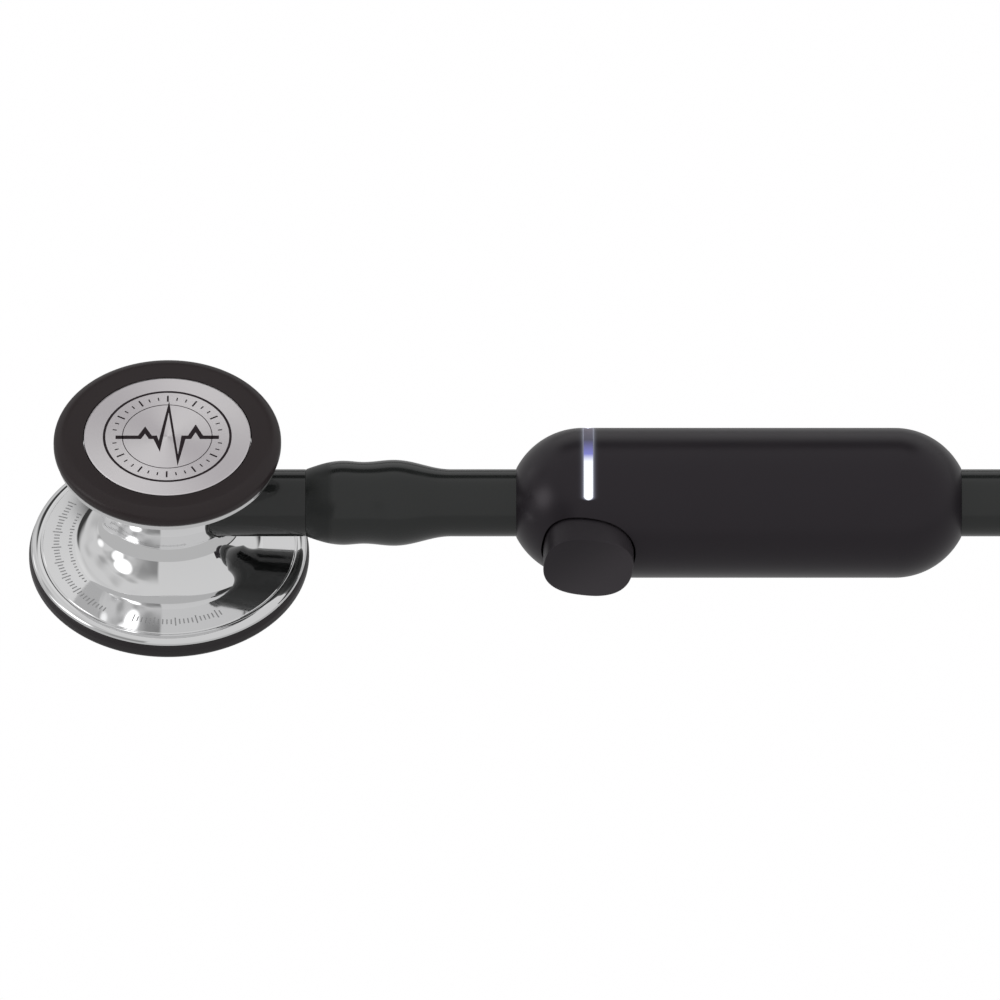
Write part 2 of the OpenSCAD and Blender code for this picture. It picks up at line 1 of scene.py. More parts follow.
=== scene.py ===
"""The looks of the electronic stethoscope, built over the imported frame. Metres, +Z up.

Shapes are written in millimetres with heights counted from the stem's axis, as in the part's
source; point() turns them into the frame's metres.
"""
import json
import math

import bmesh
import bpy
from mathutils import Matrix, Vector


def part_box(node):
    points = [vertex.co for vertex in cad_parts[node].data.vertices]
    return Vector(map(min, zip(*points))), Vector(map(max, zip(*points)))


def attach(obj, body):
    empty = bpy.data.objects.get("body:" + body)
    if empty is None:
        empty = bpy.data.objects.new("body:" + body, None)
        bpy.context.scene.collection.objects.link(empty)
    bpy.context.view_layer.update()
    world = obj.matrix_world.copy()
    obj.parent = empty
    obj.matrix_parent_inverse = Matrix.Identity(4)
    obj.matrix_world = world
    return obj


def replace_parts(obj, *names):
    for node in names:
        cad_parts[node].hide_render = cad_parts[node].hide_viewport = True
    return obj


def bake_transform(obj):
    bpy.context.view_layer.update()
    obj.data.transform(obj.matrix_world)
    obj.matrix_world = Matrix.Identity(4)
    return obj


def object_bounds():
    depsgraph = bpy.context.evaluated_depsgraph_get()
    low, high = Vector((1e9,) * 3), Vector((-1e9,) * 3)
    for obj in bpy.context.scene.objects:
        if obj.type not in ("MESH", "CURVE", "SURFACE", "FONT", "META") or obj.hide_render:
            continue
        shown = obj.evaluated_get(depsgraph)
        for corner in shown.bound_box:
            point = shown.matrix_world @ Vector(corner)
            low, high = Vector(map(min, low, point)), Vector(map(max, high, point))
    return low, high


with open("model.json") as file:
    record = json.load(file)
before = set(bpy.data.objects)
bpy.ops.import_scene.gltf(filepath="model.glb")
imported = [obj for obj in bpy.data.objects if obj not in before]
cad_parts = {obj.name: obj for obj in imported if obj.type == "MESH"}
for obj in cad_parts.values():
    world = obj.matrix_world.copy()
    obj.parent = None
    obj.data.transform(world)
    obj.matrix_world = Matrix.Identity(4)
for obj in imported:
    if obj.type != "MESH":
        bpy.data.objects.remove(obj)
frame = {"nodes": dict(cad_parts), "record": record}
CAD_BOX = [list(corner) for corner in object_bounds()]
JOINTS = {joint["name"]: joint for joint in frame["record"]["behaviour"]["joints"]}
MM = 0.001
AXIS_Z = JOINTS["chestpiece_swivel"]["pos_m"][2]


# ---------------------------------------------------------------- sizes, from the frame
def node_mm(node):
    """A node's box in millimetres, with heights counted from the stem's axis."""
    low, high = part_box(node)
    lift = Vector((0, 0, AXIS_Z))
    return (low - lift) / MM, (high - lift) / MM


LARGE_R = node_mm("large_rim")[1].x
SMALL_R = node_mm("small_rim")[1].x
LARGE_FACE = node_mm("large_diaphragm")[0].z
BADGE_TOP = node_mm("small_badge")[1].z
BADGE_R = node_mm("small_badge")[1].x
TUBE_R = 5.6
STEM_END = node_mm("chest_tube")[0].x
MODULE_R = node_mm("housing")[1].z
TUBE_HOLE_R = 5.7
MODULE_A = node_mm("housing")[0].x + math.sqrt(MODULE_R ** 2 - TUBE_HOLE_R ** 2)
MODULE_B = node_mm("housing")[1].x - math.sqrt(MODULE_R ** 2 - TUBE_HOLE_R ** 2)
LIGHT_X = (node_mm("light_pipe")[0].x + node_mm("light_pipe")[1].x) / 2
LIGHT_W = 1.6
LIGHT_END = 50.7
BUTTON_LOW, BUTTON_HIGH = node_mm("mode_button")
BUTTON_X = (BUTTON_LOW.x + BUTTON_HIGH.x) / 2
BUTTON_FACE = -BUTTON_LOW.y
COVER_LOW, COVER_HIGH = node_mm("bottom_cover")
TABLE_Z = LARGE_FACE + TUBE_R


def point(x, y, z):
    return Vector((x * MM, y * MM, z * MM + AXIS_Z))


# ---------------------------------------------------------------- meshes
def make_object(name, verts, faces, mats, bands=None, sharp=35):
    mesh = bpy.data.meshes.new(name)
    mesh.from_pydata(verts, [], faces)
    for mat in mats:
        mesh.materials.append(mat)
    if bands:
        mesh.polygons.foreach_set("material_index", bands)
    finish_mesh(mesh, sharp)
    obj = bpy.data.objects.new(name, mesh)
    bpy.context.scene.collection.objects.link(obj)
    return obj


def finish_mesh(mesh, sharp=35):
    """Normals outward, smooth shading, creases kept."""
    work = bmesh.new()
    work.from_mesh(mesh)
    bmesh.ops.remove_doubles(work, verts=work.verts, dist=1e-7)
    bmesh.ops.recalc_face_normals(work, faces=work.faces)
    work.to_mesh(mesh)
    work.free()
    mesh.polygons.foreach_set("use_smooth", [True] * len(mesh.polygons))
    mesh.set_sharp_from_angle(angle=math.radians(sharp))
    mesh.update()


def revolve(name, profile, mats, axis="Z", bands=None, n=192, closed=False, place=None, sharp=35):
    """A lathe shape from (along, radius) points; bands gives each stretch its material."""
    verts, faces, slots, rings = [], [], [], []
    for along, radius in profile:
        if radius < 1e-6:
            rings.append([len(verts)])
            flat = [(along, 0, 0)] if axis == "X" else [(0, 0, along)]
        else:
            rings.append(list(range(len(verts), len(verts) + n)))
            turns = [2 * math.pi * i / n for i in range(n)]
            if axis == "X":
                flat = [(along, radius * math.cos(t), radius * math.sin(t)) for t in turns]
            else:
                flat = [(radius * math.cos(t), radius * math.sin(t), along) for t in turns]
        verts += [place(*p) if place else point(*p) for p in flat]
    stretches = list(zip(rings, rings[1:]))
    if closed:
        stretches.append((rings[-1], rings[0]))
    for k, (a, b) in enumerate(stretches):
        for i in range(n):
            j = (i + 1) % n
            if len(a) == 1 and len(b) == 1:
                continue
            if len(a) == 1:
                face = (a[0], b[i], b[j])
            elif len(b) == 1:
                face = (a[i], b[0], a[j])
            else:
                face = (a[i], b[i], b[j], a[j])
            faces.append(face)
            slots.append(bands[k] if bands else 0)
    return make_object(name, verts, faces, mats, slots, sharp)


def arc(centre, a, b, start, end, n=24):
    """Points of an ellipse's arc, degrees."""
    turns = [math.radians(start + (end - start) * i / n) for i in range(n + 1)]
    return [(centre[0] + a * math.cos(t), centre[1] + b * math.sin(t)) for t in turns]


def bezier(a, b, c, d, n=48):
    """Points of a cubic curve between a and d."""
    out = []
    for k in range(n + 1):
        t = k / n
        u = 1 - t
        weights = (u ** 3, 3 * u * u * t, 3 * u * t * t, t ** 3)
        out.append(tuple(sum(w * p[i] for w, p in zip(weights, (a, b, c, d))) for i in (0, 1)))
    return out


def rounded(corners, n=6):
    """(x, y, radius) corners as a polyline with its corners rounded; the ends stay."""
    out = [tuple(corners[0][:2])]
    for before, here, after in zip(corners, corners[1:], corners[2:]):
        p, a, b = Vector(here[:2]), Vector(before[:2]), Vector(after[:2])
        radius = here[2] if len(here) > 2 else 0
        u, v = (a - p).normalized(), (b - p).normalized()
        half = u.angle(v) / 2
        if radius <= 0 or abs(half - math.pi / 2) < 0.01:
            out.append(tuple(p))
            continue
        reach = min(radius / math.tan(half), (a - p).length * 0.49, (b - p).length * 0.49)
        radius = reach * math.tan(half)
        centre = p + (u + v).normalized() * (radius / math.sin(half))
        first, last = p + u * reach - centre, p + v * reach - centre
        turn = first.angle_signed(last)
        for i in range(n + 1):
            t = -turn * i / n
            out.append((
                centre.x + first.x * math.cos(t) - first.y * math.sin(t),
                centre.y + first.x * math.sin(t) + first.y * math.cos(t),
            ))
    out.append(tuple(corners[-1][:2]))
    return out


class Line:
    """Walks straights and turns and keeps a frame at every step: x ahead, y left, z up."""

    def __init__(self, matrix):
        self.at = matrix.copy()
        self.frames = [self.at.copy()]

    def straight(self, length, n=1):
        start = self.at.copy()
        for i in range(n):
            self.at = start @ Matrix.Translation((length * (i + 1) / n, 0, 0))
            self.frames.append(self.at.copy())
        return self

    def turn(self, radius, angle, n=24):
        start = self.at.copy()
        side = 1 if angle > 0 else -1
        for i in range(n):
            t = math.radians(angle) * (i + 1) / n
            self.at = (
                start
                @ Matrix.Translation((radius * math.sin(abs(t)), side * radius * (1 - math.cos(t)), 0))
                @ Matrix.Rotation(t, 4, "Z")
            )
            self.frames.append(self.at.copy())
        return self

    def roll(self, angle):
        self.at = self.at @ Matrix.Rotation(math.radians(angle), 4, "X")
        return self


def sweep(name, frames, radii, mats, n=48, caps=True, sharp=35):
    """A round tube along frames, in millimetres; radii is one number or one for each frame."""
    if not isinstance(radii, (list, tuple)):
        radii = [radii] * len(frames)
    up = frames[0].to_3x3() @ Vector((0, 0, 1))
    verts, faces = [], []
    for matrix, radius in zip(frames, radii):
        ahead = matrix.to_3x3() @ Vector((1, 0, 0))
        up = (up - ahead * up.dot(ahead)).normalized()
        left = up.cross(ahead)
        centre = matrix.translation
        for i in range(n):
            t = 2 * math.pi * i / n
            p = centre + (left * math.cos(t) + up * math.sin(t)) * radius
            verts.append(point(*p))
    for k in range(len(frames) - 1):
        for i in range(n):
            j = (i + 1) % n
            faces.append((k * n + i, k * n + j, (k + 1) * n + j, (k + 1) * n + i))
    if caps:
        faces.append(tuple(range(n - 1, -1, -1)))
        faces.append(tuple((len(frames) - 1) * n + i for i in range(n)))
    return make_object(name, verts, faces, mats, sharp=sharp)


# ---------------------------------------------------------------- materials
class Nodes:
    """Adds nodes to the tree of a material or a world, and links them."""

    def __init__(self, owner, place, empty=False):
        owner.use_nodes = True
        self.tree = owner.node_tree
        if empty:
            self.tree.nodes.clear()
        self.place = self.add("ShaderNodeTexCoord").outputs[place]

    def add(self, kind, **settings):
        made = self.tree.nodes.new(kind)
        for key, value in settings.items():
            setattr(made, key, value)
        return made

    def link(self, source, target):
        self.tree.links.new(source, target)

    def axes(self):
        """X, Y and Z of the shaded place."""
        parts = self.add("ShaderNodeSeparateXYZ")
        self.link(self.place, parts.inputs[0])
        return parts.outputs[0], parts.outputs[1], parts.outputs[2]

    def math(self, operation, a, b=None):
        made = self.add("ShaderNodeMath", operation=operation)
        for k, value in enumerate((a, b)):
            if value is None:
                continue
            if isinstance(value, (int, float)):
                made.inputs[k].default_value = value
            else:
                self.link(value, made.inputs[k])
        return made.outputs[0]

    def noise(self, scale, detail=3, roughness=0.5, vector=None):
        made = self.add("ShaderNodeTexNoise")
        made.inputs["Scale"].default_value = scale
        made.inputs["Detail"].default_value = detail
        made.inputs["Roughness"].default_value = roughness
        self.link(vector or self.place, made.inputs["Vector"])
        return made.outputs["Fac"]

    def spread(self, source, low, high):
        made = self.add("ShaderNodeMapRange")
        self.link(source, made.inputs["Value"])
        made.inputs["From Min"].default_value = 0.3
        made.inputs["From Max"].default_value = 0.7
        made.inputs["To Min"].default_value = low
        made.inputs["To Max"].default_value = high
        return made.outputs["Result"]

    def step(self, source, low, high):
        """Rises smoothly from 0 at low to 1 at high."""
        made = self.add("ShaderNodeMapRange", interpolation_type="SMOOTHSTEP")
        self.link(source, made.inputs["Value"])
        made.inputs["From Min"].default_value = low
        made.inputs["From Max"].default_value = high
        return made.outputs["Result"]

    def window(self, source, low, high, soft):
        """1 between low and high, 0 outside, with soft edges."""
        rise = self.step(source, low - soft, low + soft)
        return self.math("SUBTRACT", rise, self.step(source, high - soft, high + soft))

    def ramp(self, source, stops):
        """Colours along a value; the first stop is at 0 and the last at 1."""
        made = self.add("ShaderNodeValToRGB")
        elements = made.color_ramp.elements
        elements[0].color, elements[1].color = (*stops[0][1], 1), (*stops[-1][1], 1)
        for position, colour in stops[1:-1]:
            elements.new(position).color = (*colour, 1)
        self.link(source, made.inputs[0])
        return made.outputs[0]

    def mix(self, factor, a, b):
        made = self.add("ShaderNodeMix", data_type="RGBA")
        self.link(factor, made.inputs[0])
        for k, value in ((6, a), (7, b)):
            if isinstance(value, tuple):
                made.inputs[k].default_value = (*value, 1)
            else:
                self.link(value, made.inputs[k])
        return made.outputs[2]

    def white_to_camera(self, kind, socket, source, output):
        """Ends the tree: white to the camera, and a light fed by source to everything else."""
        seen, lit, mix = self.add(kind), self.add(kind), self.add("ShaderNodeMixShader")
        seen.inputs["Color"].default_value = (1, 0.997, 1, 1)
        self.link(source, lit.inputs[socket])
        camera = self.add("ShaderNodeLightPath").outputs["Is Camera Ray"]
        for k, end in enumerate((camera, lit.outputs[0], seen.outputs[0])):
            self.link(end, mix.inputs[k])
        self.link(mix.outputs[0], self.add(output).inputs[0])


class Shader(Nodes):
    """A material around one Principled BSDF."""

    def __init__(self, name):
        self.mat = bpy.data.materials.new(name)
        super().__init__(self.mat, "Object")
        self.bsdf = self.tree.nodes["Principled BSDF"]

    def set(self, **values):
        for key, value in values.items():
            socket = self.bsdf.inputs[key.replace("_", " ")]
            if isinstance(value, (int, float)):
                socket.default_value = value
            elif isinstance(value, tuple):
                socket.default_value = (*value, 1)
            else:
                self.link(value, socket)
        return self

    def bump(self, height, strength, distance, edge=0.0):
        made = self.add("ShaderNodeBump")
        made.inputs["Strength"].default_value = strength
        made.inputs["Distance"].default_value = distance
        self.link(height, made.inputs["Height"])
        if edge:
            bevel = self.add("ShaderNodeBevel", samples=6)
            bevel.inputs["Radius"].default_value = edge
            self.link(bevel.outputs["Normal"], made.inputs["Normal"])
        self.link(made.outputs["Normal"], self.bsdf.inputs["Normal"])
        return self


def soft_material(
    name, base, rough, grain=2600.0, strength=0.06, level=0.5, edge=0.0, tint_edge=(1.0, 1.0, 1.0),
):
    """Moulded plastic or rubber: a fine grain, and a slight unevenness in colour and shine."""
    s = Shader(name)
    wide = s.noise(60, 2)
    fine = s.noise(grain, 2, 0.6)
    tint = tuple(c * 1.16 for c in base)
    s.set(Base_Color=s.mix(wide, base, tint), Roughness=s.spread(wide, rough - 0.015, rough + 0.02))
    s.set(Specular_IOR_Level=level, Specular_Tint=tint_edge)
    s.bump(fine, strength, 0.00002, edge)
    return s


def metal_material(name, base, rough, streak=0.0):
    s = Shader(name)
    wide = s.noise(45, 3)
    s.set(Base_Color=s.mix(wide, base, tuple(c * 0.97 for c in base)), Metallic=1.0)
    s.set(Roughness=s.spread(wide, rough, rough * 1.25 + 0.005))
    s.bump(s.noise(900, 3), streak, 0.00001)
    return s


def lathe_metal(name, base, rough, anisotropy, strength):
    """Metal turned on a lathe: the marks run round the Z axis."""
    s = Shader(name)
    x, y, _ = s.axes()
    radius = s.math("SQRT", s.math("ADD", s.math("MULTIPLY", x, x), s.math("MULTIPLY", y, y)))
    rings = s.add("ShaderNodeCombineXYZ")
    s.link(s.math("MULTIPLY", radius, 9000.0), rings.inputs[0])
    marks = s.noise(1.0, 4, 0.7, rings.outputs[0])
    tangent = s.add("ShaderNodeTangent", direction_type="RADIAL", axis="Z")
    s.link(tangent.outputs[0], s.bsdf.inputs["Tangent"])
    s.set(Base_Color=s.mix(marks, base, tuple(c * 0.92 for c in base)), Metallic=1.0, Anisotropic=anisotropy)
    s.set(Roughness=s.spread(marks, rough, rough * 1.2))
    s.bump(marks, strength, 0.00001)
    return s


def disc_material():
    """The turned disc: its lathe marks reflect anisotropically, and two broad bright rays are painted into
    its colour along a fixed direction as a painted highlight.
    """
    s = lathe_metal("brushed_disc", (0.84, 0.80, 0.82), 0.17, 0.55, 0.05)
    x, y, _ = s.axes()
    # painted highlight: the base colour is made paler in a bow-tie of two rays at 48°, fixed on the disc
    # whatever the lamps do
    turn = s.math("SUBTRACT", s.math("ARCTAN2", y, x), math.radians(48))
    painted_highlight_rays = s.math("ADD", s.math("MULTIPLY", s.math("COSINE", s.math("MULTIPLY", turn, 2.0)), 0.5), 0.5)
    s.set(Base_Color=s.mix(painted_highlight_rays, (0.75, 0.71, 0.735), (0.97, 0.935, 0.95)))
    return s.mat


def ink_material(name, base, rough=0.35, level=0.2):
    s = Shader(name)
    wide = s.noise(400, 2)
    s.set(Base_Color=s.mix(wide, base, tuple(c * 1.3 for c in base)), Specular_IOR_Level=level)
    return s.set(Roughness=s.spread(wide, rough, rough + 0.08))


CHROME = metal_material("polished_chrome", (0.95, 0.95, 0.955), 0.022).mat
FLANGE = lathe_metal("turned_flange", (0.93, 0.93, 0.935), 0.05, 0.3, 0.0).mat
DISC = disc_material()
INK = ink_material("engraved_ink", (0.020, 0.013, 0.016)).mat
ETCH = ink_material("etched_marks", (0.36, 0.36, 0.365), 0.5, 0.4).mat
RIM = soft_material("rim_rubber", (0.026, 0.0185, 0.0195), 0.34, 3000, 0.06, 0.32).mat
LARGE_RIM = soft_material("large_rim_rubber", (0.024, 0.020, 0.022), 0.34, 3000, 0.06, 0.35).mat
STEM = soft_material("black_coated_metal", (0.016, 0.017, 0.0165), 0.12, 2600, 0.03, 0.5).mat
TUBING = soft_material("tubing", (0.0170, 0.0185, 0.0178), 0.15, 2400, 0.04, 0.5).mat
CARRIER = soft_material("clear_diaphragm", (0.62, 0.62, 0.60), 0.4, 2600, 0.1).mat
EAR_METAL = soft_material("ear_tube_coating", (0.020, 0.020, 0.021), 0.2, 2200, 0.04).mat
SILICONE = soft_material("eartip_silicone", (0.020, 0.020, 0.021), 0.38, 2600, 0.08).mat
FERRULE = metal_material("ferrule_metal", (0.32, 0.32, 0.33), 0.22, 0.05).mat
STEEL = metal_material("spring_steel", (0.55, 0.55, 0.56), 0.3, 0.1).mat


def round_axis(s, y, z):
    """The angle round the module's long axis, from the front over the top."""
    return s.math("ARCTAN2", s.math("SUBTRACT", z, AXIS_Z), s.math("MULTIPLY", y, -1.0))


def housing_material():
    """Soft-touch plastic, with the light strip's glow painted on the skin beside it as emission."""
    s = soft_material(
        "module_plastic", (0.0140, 0.0114, 0.0145), 0.29, 2800, 0.06, 0.36, 0.00012, (1.0, 0.93, 1.0),
    )
    x, y, z = s.axes()
    across = s.math("ABSOLUTE", s.math("SUBTRACT", x, LIGHT_X * MM))
    fade = s.math("POWER", 2.718, s.math("MULTIPLY", s.math("SUBTRACT", across, 0.0008), -5000.0))
    along = s.window(
        round_axis(s, y, z), math.radians(LIGHT_END - 2.5), math.radians(150), math.radians(1.5),
    )
    # painted glow: the plastic beside the light strip emits as if lit by it
    glow = s.math("MULTIPLY", fade, along)
    s.set(Emission_Color=(0.76, 0.80, 1.0), Emission_Strength=s.math("MULTIPLY", glow, 0.32))
    return s.mat


def light_material():
    s = Shader("light_window")
    _, y, z = s.axes()
    scale = s.add("ShaderNodeMapRange")
    s.link(round_axis(s, y, z), scale.inputs["Value"])
    scale.inputs["From Min"].default_value = math.radians(46)
    scale.inputs["From Max"].default_value = math.radians(134)
    glow = s.ramp(scale.outputs["Result"], [
        (0.0, (0.95, 0.97, 1.0)), (0.37, (0.92, 0.95, 1.0)), (0.45, (0.17, 0.18, 0.55)),
        (0.54, (0.11, 0.11, 0.30)), (0.64, (0.04, 0.038, 0.065)), (1.0, (0.085, 0.070, 0.10)),
    ])
    grain = s.noise(900, 2)
    s.set(
        Base_Color=(0.06, 0.06, 0.07), Roughness=s.spread(grain, 0.3, 0.4),
        Emission_Color=glow, Emission_Strength=1.0,
    )
    return s.mat


def chest_tubing_material():
    """Tubing with a duller, darker mouth where it is stretched over the stem's barb."""
    s = soft_material("chest_tubing", (0.0170, 0.0185, 0.0178), 0.15, 2400, 0.04, 0.5)
    x, _, _ = s.axes()
    mouth = s.window(x, 20 * MM, 27.1 * MM, 0.7 * MM)
    s.set(Specular_IOR_Level=s.math("SUBTRACT", 0.5, s.math("MULTIPLY", mouth, 0.16)))
    s.set(Roughness=s.math("ADD", s.spread(s.noise(60, 2), 0.135, 0.17), s.math("MULTIPLY", mouth, 0.2)))
    return s.mat


def button_material():
    """The keys' plastic, with painted light: paler towards the lower right, standing in for the floor's
    light on it.
    """
    s = soft_material("button_plastic", (0.02, 0.02, 0.02), 0.42, 3200, 0.10, 0.35, 0.0, (1.0, 0.93, 1.0))
    x, _, z = s.axes()
    lean = s.math("SUBTRACT", s.math("SUBTRACT", x, BUTTON_X * MM), s.math("SUBTRACT", z, AXIS_Z))
    # painted light: a diagonal mask makes the lower right of the keys paler, as the floor's light would
    painted_lower_light = s.step(lean, -0.009, 0.007)
    s.set(Base_Color=s.mix(painted_lower_light, (0.0185, 0.0160, 0.0190), (0.0430, 0.0375, 0.0425)))
    return s.mat


CHEST_TUBING = chest_tubing_material()
BUTTON = button_material()
HOUSING = housing_material()
LIGHT = light_material()


# ---------------------------------------------------------------- chestpiece
FLANGE_R, FLANGE_Z = 15.6, -9.4


def flange_height(r):
    """The flange falls a little from the flare's foot to the groove by the lip."""
    return FLANGE_Z - 0.185 * (r - FLANGE_R) / (21.02 - FLANGE_R)


def chestpiece_body():
    waist_r, waist_z = 8.9, -1.0
    foot_r, foot_z, foot_slope = 12.6, -8.15, math.radians(31)
    skirt_r, small_skirt_r = LARGE_R - 1.55, SMALL_R - 1.35
    outer = [
        (-10.9, 0), (-12.6, skirt_r - 1.7), (-12.6, skirt_r), (-10.7, skirt_r), (-10.7, LARGE_R - 0.5),
    ]
    outer += [(z, r) for r, z in arc((LARGE_R - 1.9, -10.5), 1.5, 0.95, -5, 88, 16)]
    outer += [(-9.60, 21.32), (-9.68, 21.22), (-9.68, 21.12), (-9.585, 21.02)]
    satin = len(outer)
    outer += [(FLANGE_Z - 0.01, FLANGE_R + 0.1)]
    flare = len(outer)
    tilt, rise = math.cos(foot_slope), math.sin(foot_slope)
    outer += bezier(
        (FLANGE_Z, FLANGE_R), (FLANGE_Z + 0.1, FLANGE_R - 1), (foot_z - 1.4 * rise, foot_r + 1.4 * tilt),
        (foot_z, foot_r), 40,
    )
    outer += bezier(
        (foot_z, foot_r), (foot_z + 2.2 * rise, foot_r - 2.2 * tilt), (waist_z - 3, waist_r),
        (waist_z, waist_r), 56,
    )[1:]
    outer += [
        (z, r)
        for r, z in arc((small_skirt_r, waist_z), small_skirt_r - waist_r, 11.7 - waist_z, 179, 90, 48)
    ]
    outer += [(11.75, small_skirt_r + 0.3)]
    outer += [(z, r) for r, z in arc((SMALL_R - 0.95, 12.35), 0.55, 0.5, -70, 30, 10)]
    outer += [
        (12.95, SMALL_R - 0.5), (12.95, small_skirt_r), (14.1, small_skirt_r),
        (14.1, small_skirt_r - 1.4), (12.5, 0),
    ]
    bands = [0] * (len(outer) - 1)
    for k in range(satin - 1, flare - 1):
        bands[k] = 1
    body = revolve("chestpiece_body_look", outer, [CHROME, FLANGE], bands=bands, n=256, sharp=30)
    hole = cylinder_cutter("X", 0, 60, TUBE_R + 0.12)
    cut(body, [hole])
    marks = []
    for start, end, inner, outer_r, step in (
        (150, 236, 18.0, 19.6, 2.2), (156, 214, 16.1, 16.9, 2.6), (252, 300, 17.6, 19.4, 2.2),
    ):
        count = int((end - start) / step)
        for k in range(count + 1):
            turn = math.radians(start + step * k)
            middle = (inner + outer_r) / 2
            reach = (outer_r - inner) / 2 * (1.0 if k % 5 == 0 else 0.6)
            ends = [
                ((middle + s * reach) * math.cos(turn), (middle + s * reach) * math.sin(turn))
                for s in (-1, 1)
            ]
            marks.append(
                stroke_mark(
                    "etched_tick", ends, 0.22, ETCH, lambda x, y: flange_height(math.hypot(x, y)) + 0.012,
                )
            )
    body = join("chestpiece_body_look", [body] + marks)
    return own(body, "chestpiece", "polished_metal", "chestpiece_body")


def rims_and_faces():
    top = -10.75
    profile = rounded([
        (top, LARGE_R - 1.5), (top, LARGE_R - 0.36, 0.25), (-11.6, LARGE_R - 0.04, 1.2),
        (-12.9, LARGE_R - 0.02, 1.2), (-13.95, LARGE_R - 1.1, 1.1), (-13.92, 19.75, 0.15),
        (-13.45, 19.62), (-13.45, LARGE_R - 1.5),
    ], 8)
    rim = revolve("large_rim_look", profile, [LARGE_RIM], n=256, closed=True)
    own(rim, "chestpiece", "rim_rubber", "large_rim")
    face = rounded([
        (-13.1, 0), (-13.1, 21.4, 0.1), (-13.4, 21.4), (-13.4, 19.4, 0.1),
        (LARGE_FACE, 19.3, 0.35), (LARGE_FACE, 16), (LARGE_FACE + 0.05, 15.8),
        (LARGE_FACE + 0.05, 15.5), (LARGE_FACE, 15.3), (LARGE_FACE, 0),
    ], 4)
    disc = revolve("large_diaphragm_look", face, [CARRIER], n=192)
    own(disc, "large_diaphragm", "diaphragm_plastic", "large_diaphragm")
    r = SMALL_R
    skirt = r - 1.35
    profile = rounded([
        (13.0, skirt + 0.01), (13.0, r - 0.32, 0.22), (13.6, r - 0.02, 0.9), (14.9, r - 0.02, 1.3),
        (BADGE_TOP + 0.20, r - 1.5, 2.6),
        (BADGE_TOP + 0.02, 14.02, 0.12), (15.1, 13.98), (15.1, skirt + 0.01),
    ], 12)
    rim = revolve("small_rim_look", profile, [RIM], n=256, closed=True)
    own(rim, "chestpiece", "rim_rubber", "small_rim")


def badge():
    """The small side's turned disc, with two printed rings and a generic pulse line."""
    edge = rounded([
        (BADGE_TOP - 0.32, 0), (BADGE_TOP - 0.32, BADGE_R), (BADGE_TOP, BADGE_R, 0.06),
        (BADGE_TOP, BADGE_R - 0.3), (BADGE_TOP, 0),
    ], 4)
    disc = revolve("small_badge_look", edge, [DISC], n=192)
    marks = [ring_mark("ring_outer", 10.30, 10.72), ring_mark("ring_inner", 7.38, 7.52)]
    corners = [
        (-8.6, -0.2), (-4.6, -0.2), (-3.7, 1.5), (-2.8, -0.2), (-2.0, -0.2), (-1.3, -2.3), (0.2, 7.0),
        (1.8, -5.6), (2.7, -0.2), (3.7, -0.2), (4.7, 1.9), (5.7, -0.2), (8.6, -0.2),
    ]
    marks.append(stroke_mark("pulse", corners, 0.8))
    for k in range(36):
        turn = math.radians(10 * k)
        long = k % 3 == 0
        inner, outer = (8.2, 9.6) if long else (8.55, 9.25)
        if abs(math.sin(turn)) < 0.1:
            continue
        ends = [
            (inner * math.cos(turn), inner * math.sin(turn)),
            (outer * math.cos(turn), outer * math.sin(turn)),
        ]
        marks.append(stroke_mark("tick", ends, 0.3 if long else 0.22))
    whole = join("small_badge_look", [disc] + marks)
    return own(whole, "small_diaphragm", "brushed_disc", "small_badge", "small_diaphragm")


MARK_Z = 0.012


def ring_mark(name, inner, outer, n=160):
    verts, faces = [], []
    for k in range(n):
        t = 2 * math.pi * k / n
        verts += [
            point(inner * math.cos(t), inner * math.sin(t), BADGE_TOP + MARK_Z),
            point(outer * math.cos(t), outer * math.sin(t), BADGE_TOP + MARK_Z),
        ]
        a, b = 2 * k, 2 * ((k + 1) % n)
        faces.append((a, a + 1, b + 1, b))
    return make_object(name, verts, faces, [INK])


def stroke_mark(name, line, width, ink=None, height=None):
    """A printed line with mitred corners; width is one number or one for each corner."""
    widths = width if isinstance(width, (list, tuple)) else [width] * len(line)
    verts, faces = [], []
    pts = [Vector(p) for p in line]
    for k, p in enumerate(pts):
        before = (p - pts[k - 1]).normalized() if k else None
        after = (pts[k + 1] - p).normalized() if k < len(pts) - 1 else None
        ahead = (before or after) if not (before and after) else (before + after).normalized()
        side = Vector((-ahead.y, ahead.x))
        reach = widths[k] / 2 / max(0.3, side.dot(Vector((-(after or before).y, (after or before).x))))
        for s in (-1, 1):
            q = p + side * reach * s
            verts.append(point(q.x, q.y, height(q.x, q.y) if height else BADGE_TOP + MARK_Z))
    for k in range(len(pts) - 1):
        faces.append((2 * k, 2 * k + 1, 2 * k + 3, 2 * k + 2))
    return make_object(name, verts, faces, [ink or INK])


# ---------------------------------------------------------------- helpers for whole pieces
def own(obj, body, slot, *nodes):
    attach(obj, body)
    if nodes:
        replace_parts(obj, *nodes)
    return obj


def join(name, objects):
    bpy.ops.object.select_all(action="DESELECT")
    for o in objects:
        o.select_set(True)
    bpy.context.view_layer.objects.active = objects[0]
    bpy.ops.object.join()
    objects[0].name = name
    return objects[0]


def cylinder_cutter(axis, start, end, radius, centre=(0, 0), n=96):
    a, b = centre
    shift = (0, a, b) if axis == "X" else (a, b, 0)

    def place(x, y, z):
        return point(x + shift[0], y + shift[1], z + shift[2])

    return revolve(
        "cutter", [(start, 0), (start, radius), (end, radius), (end, 0)], [], axis=axis, n=n, place=place,
    )


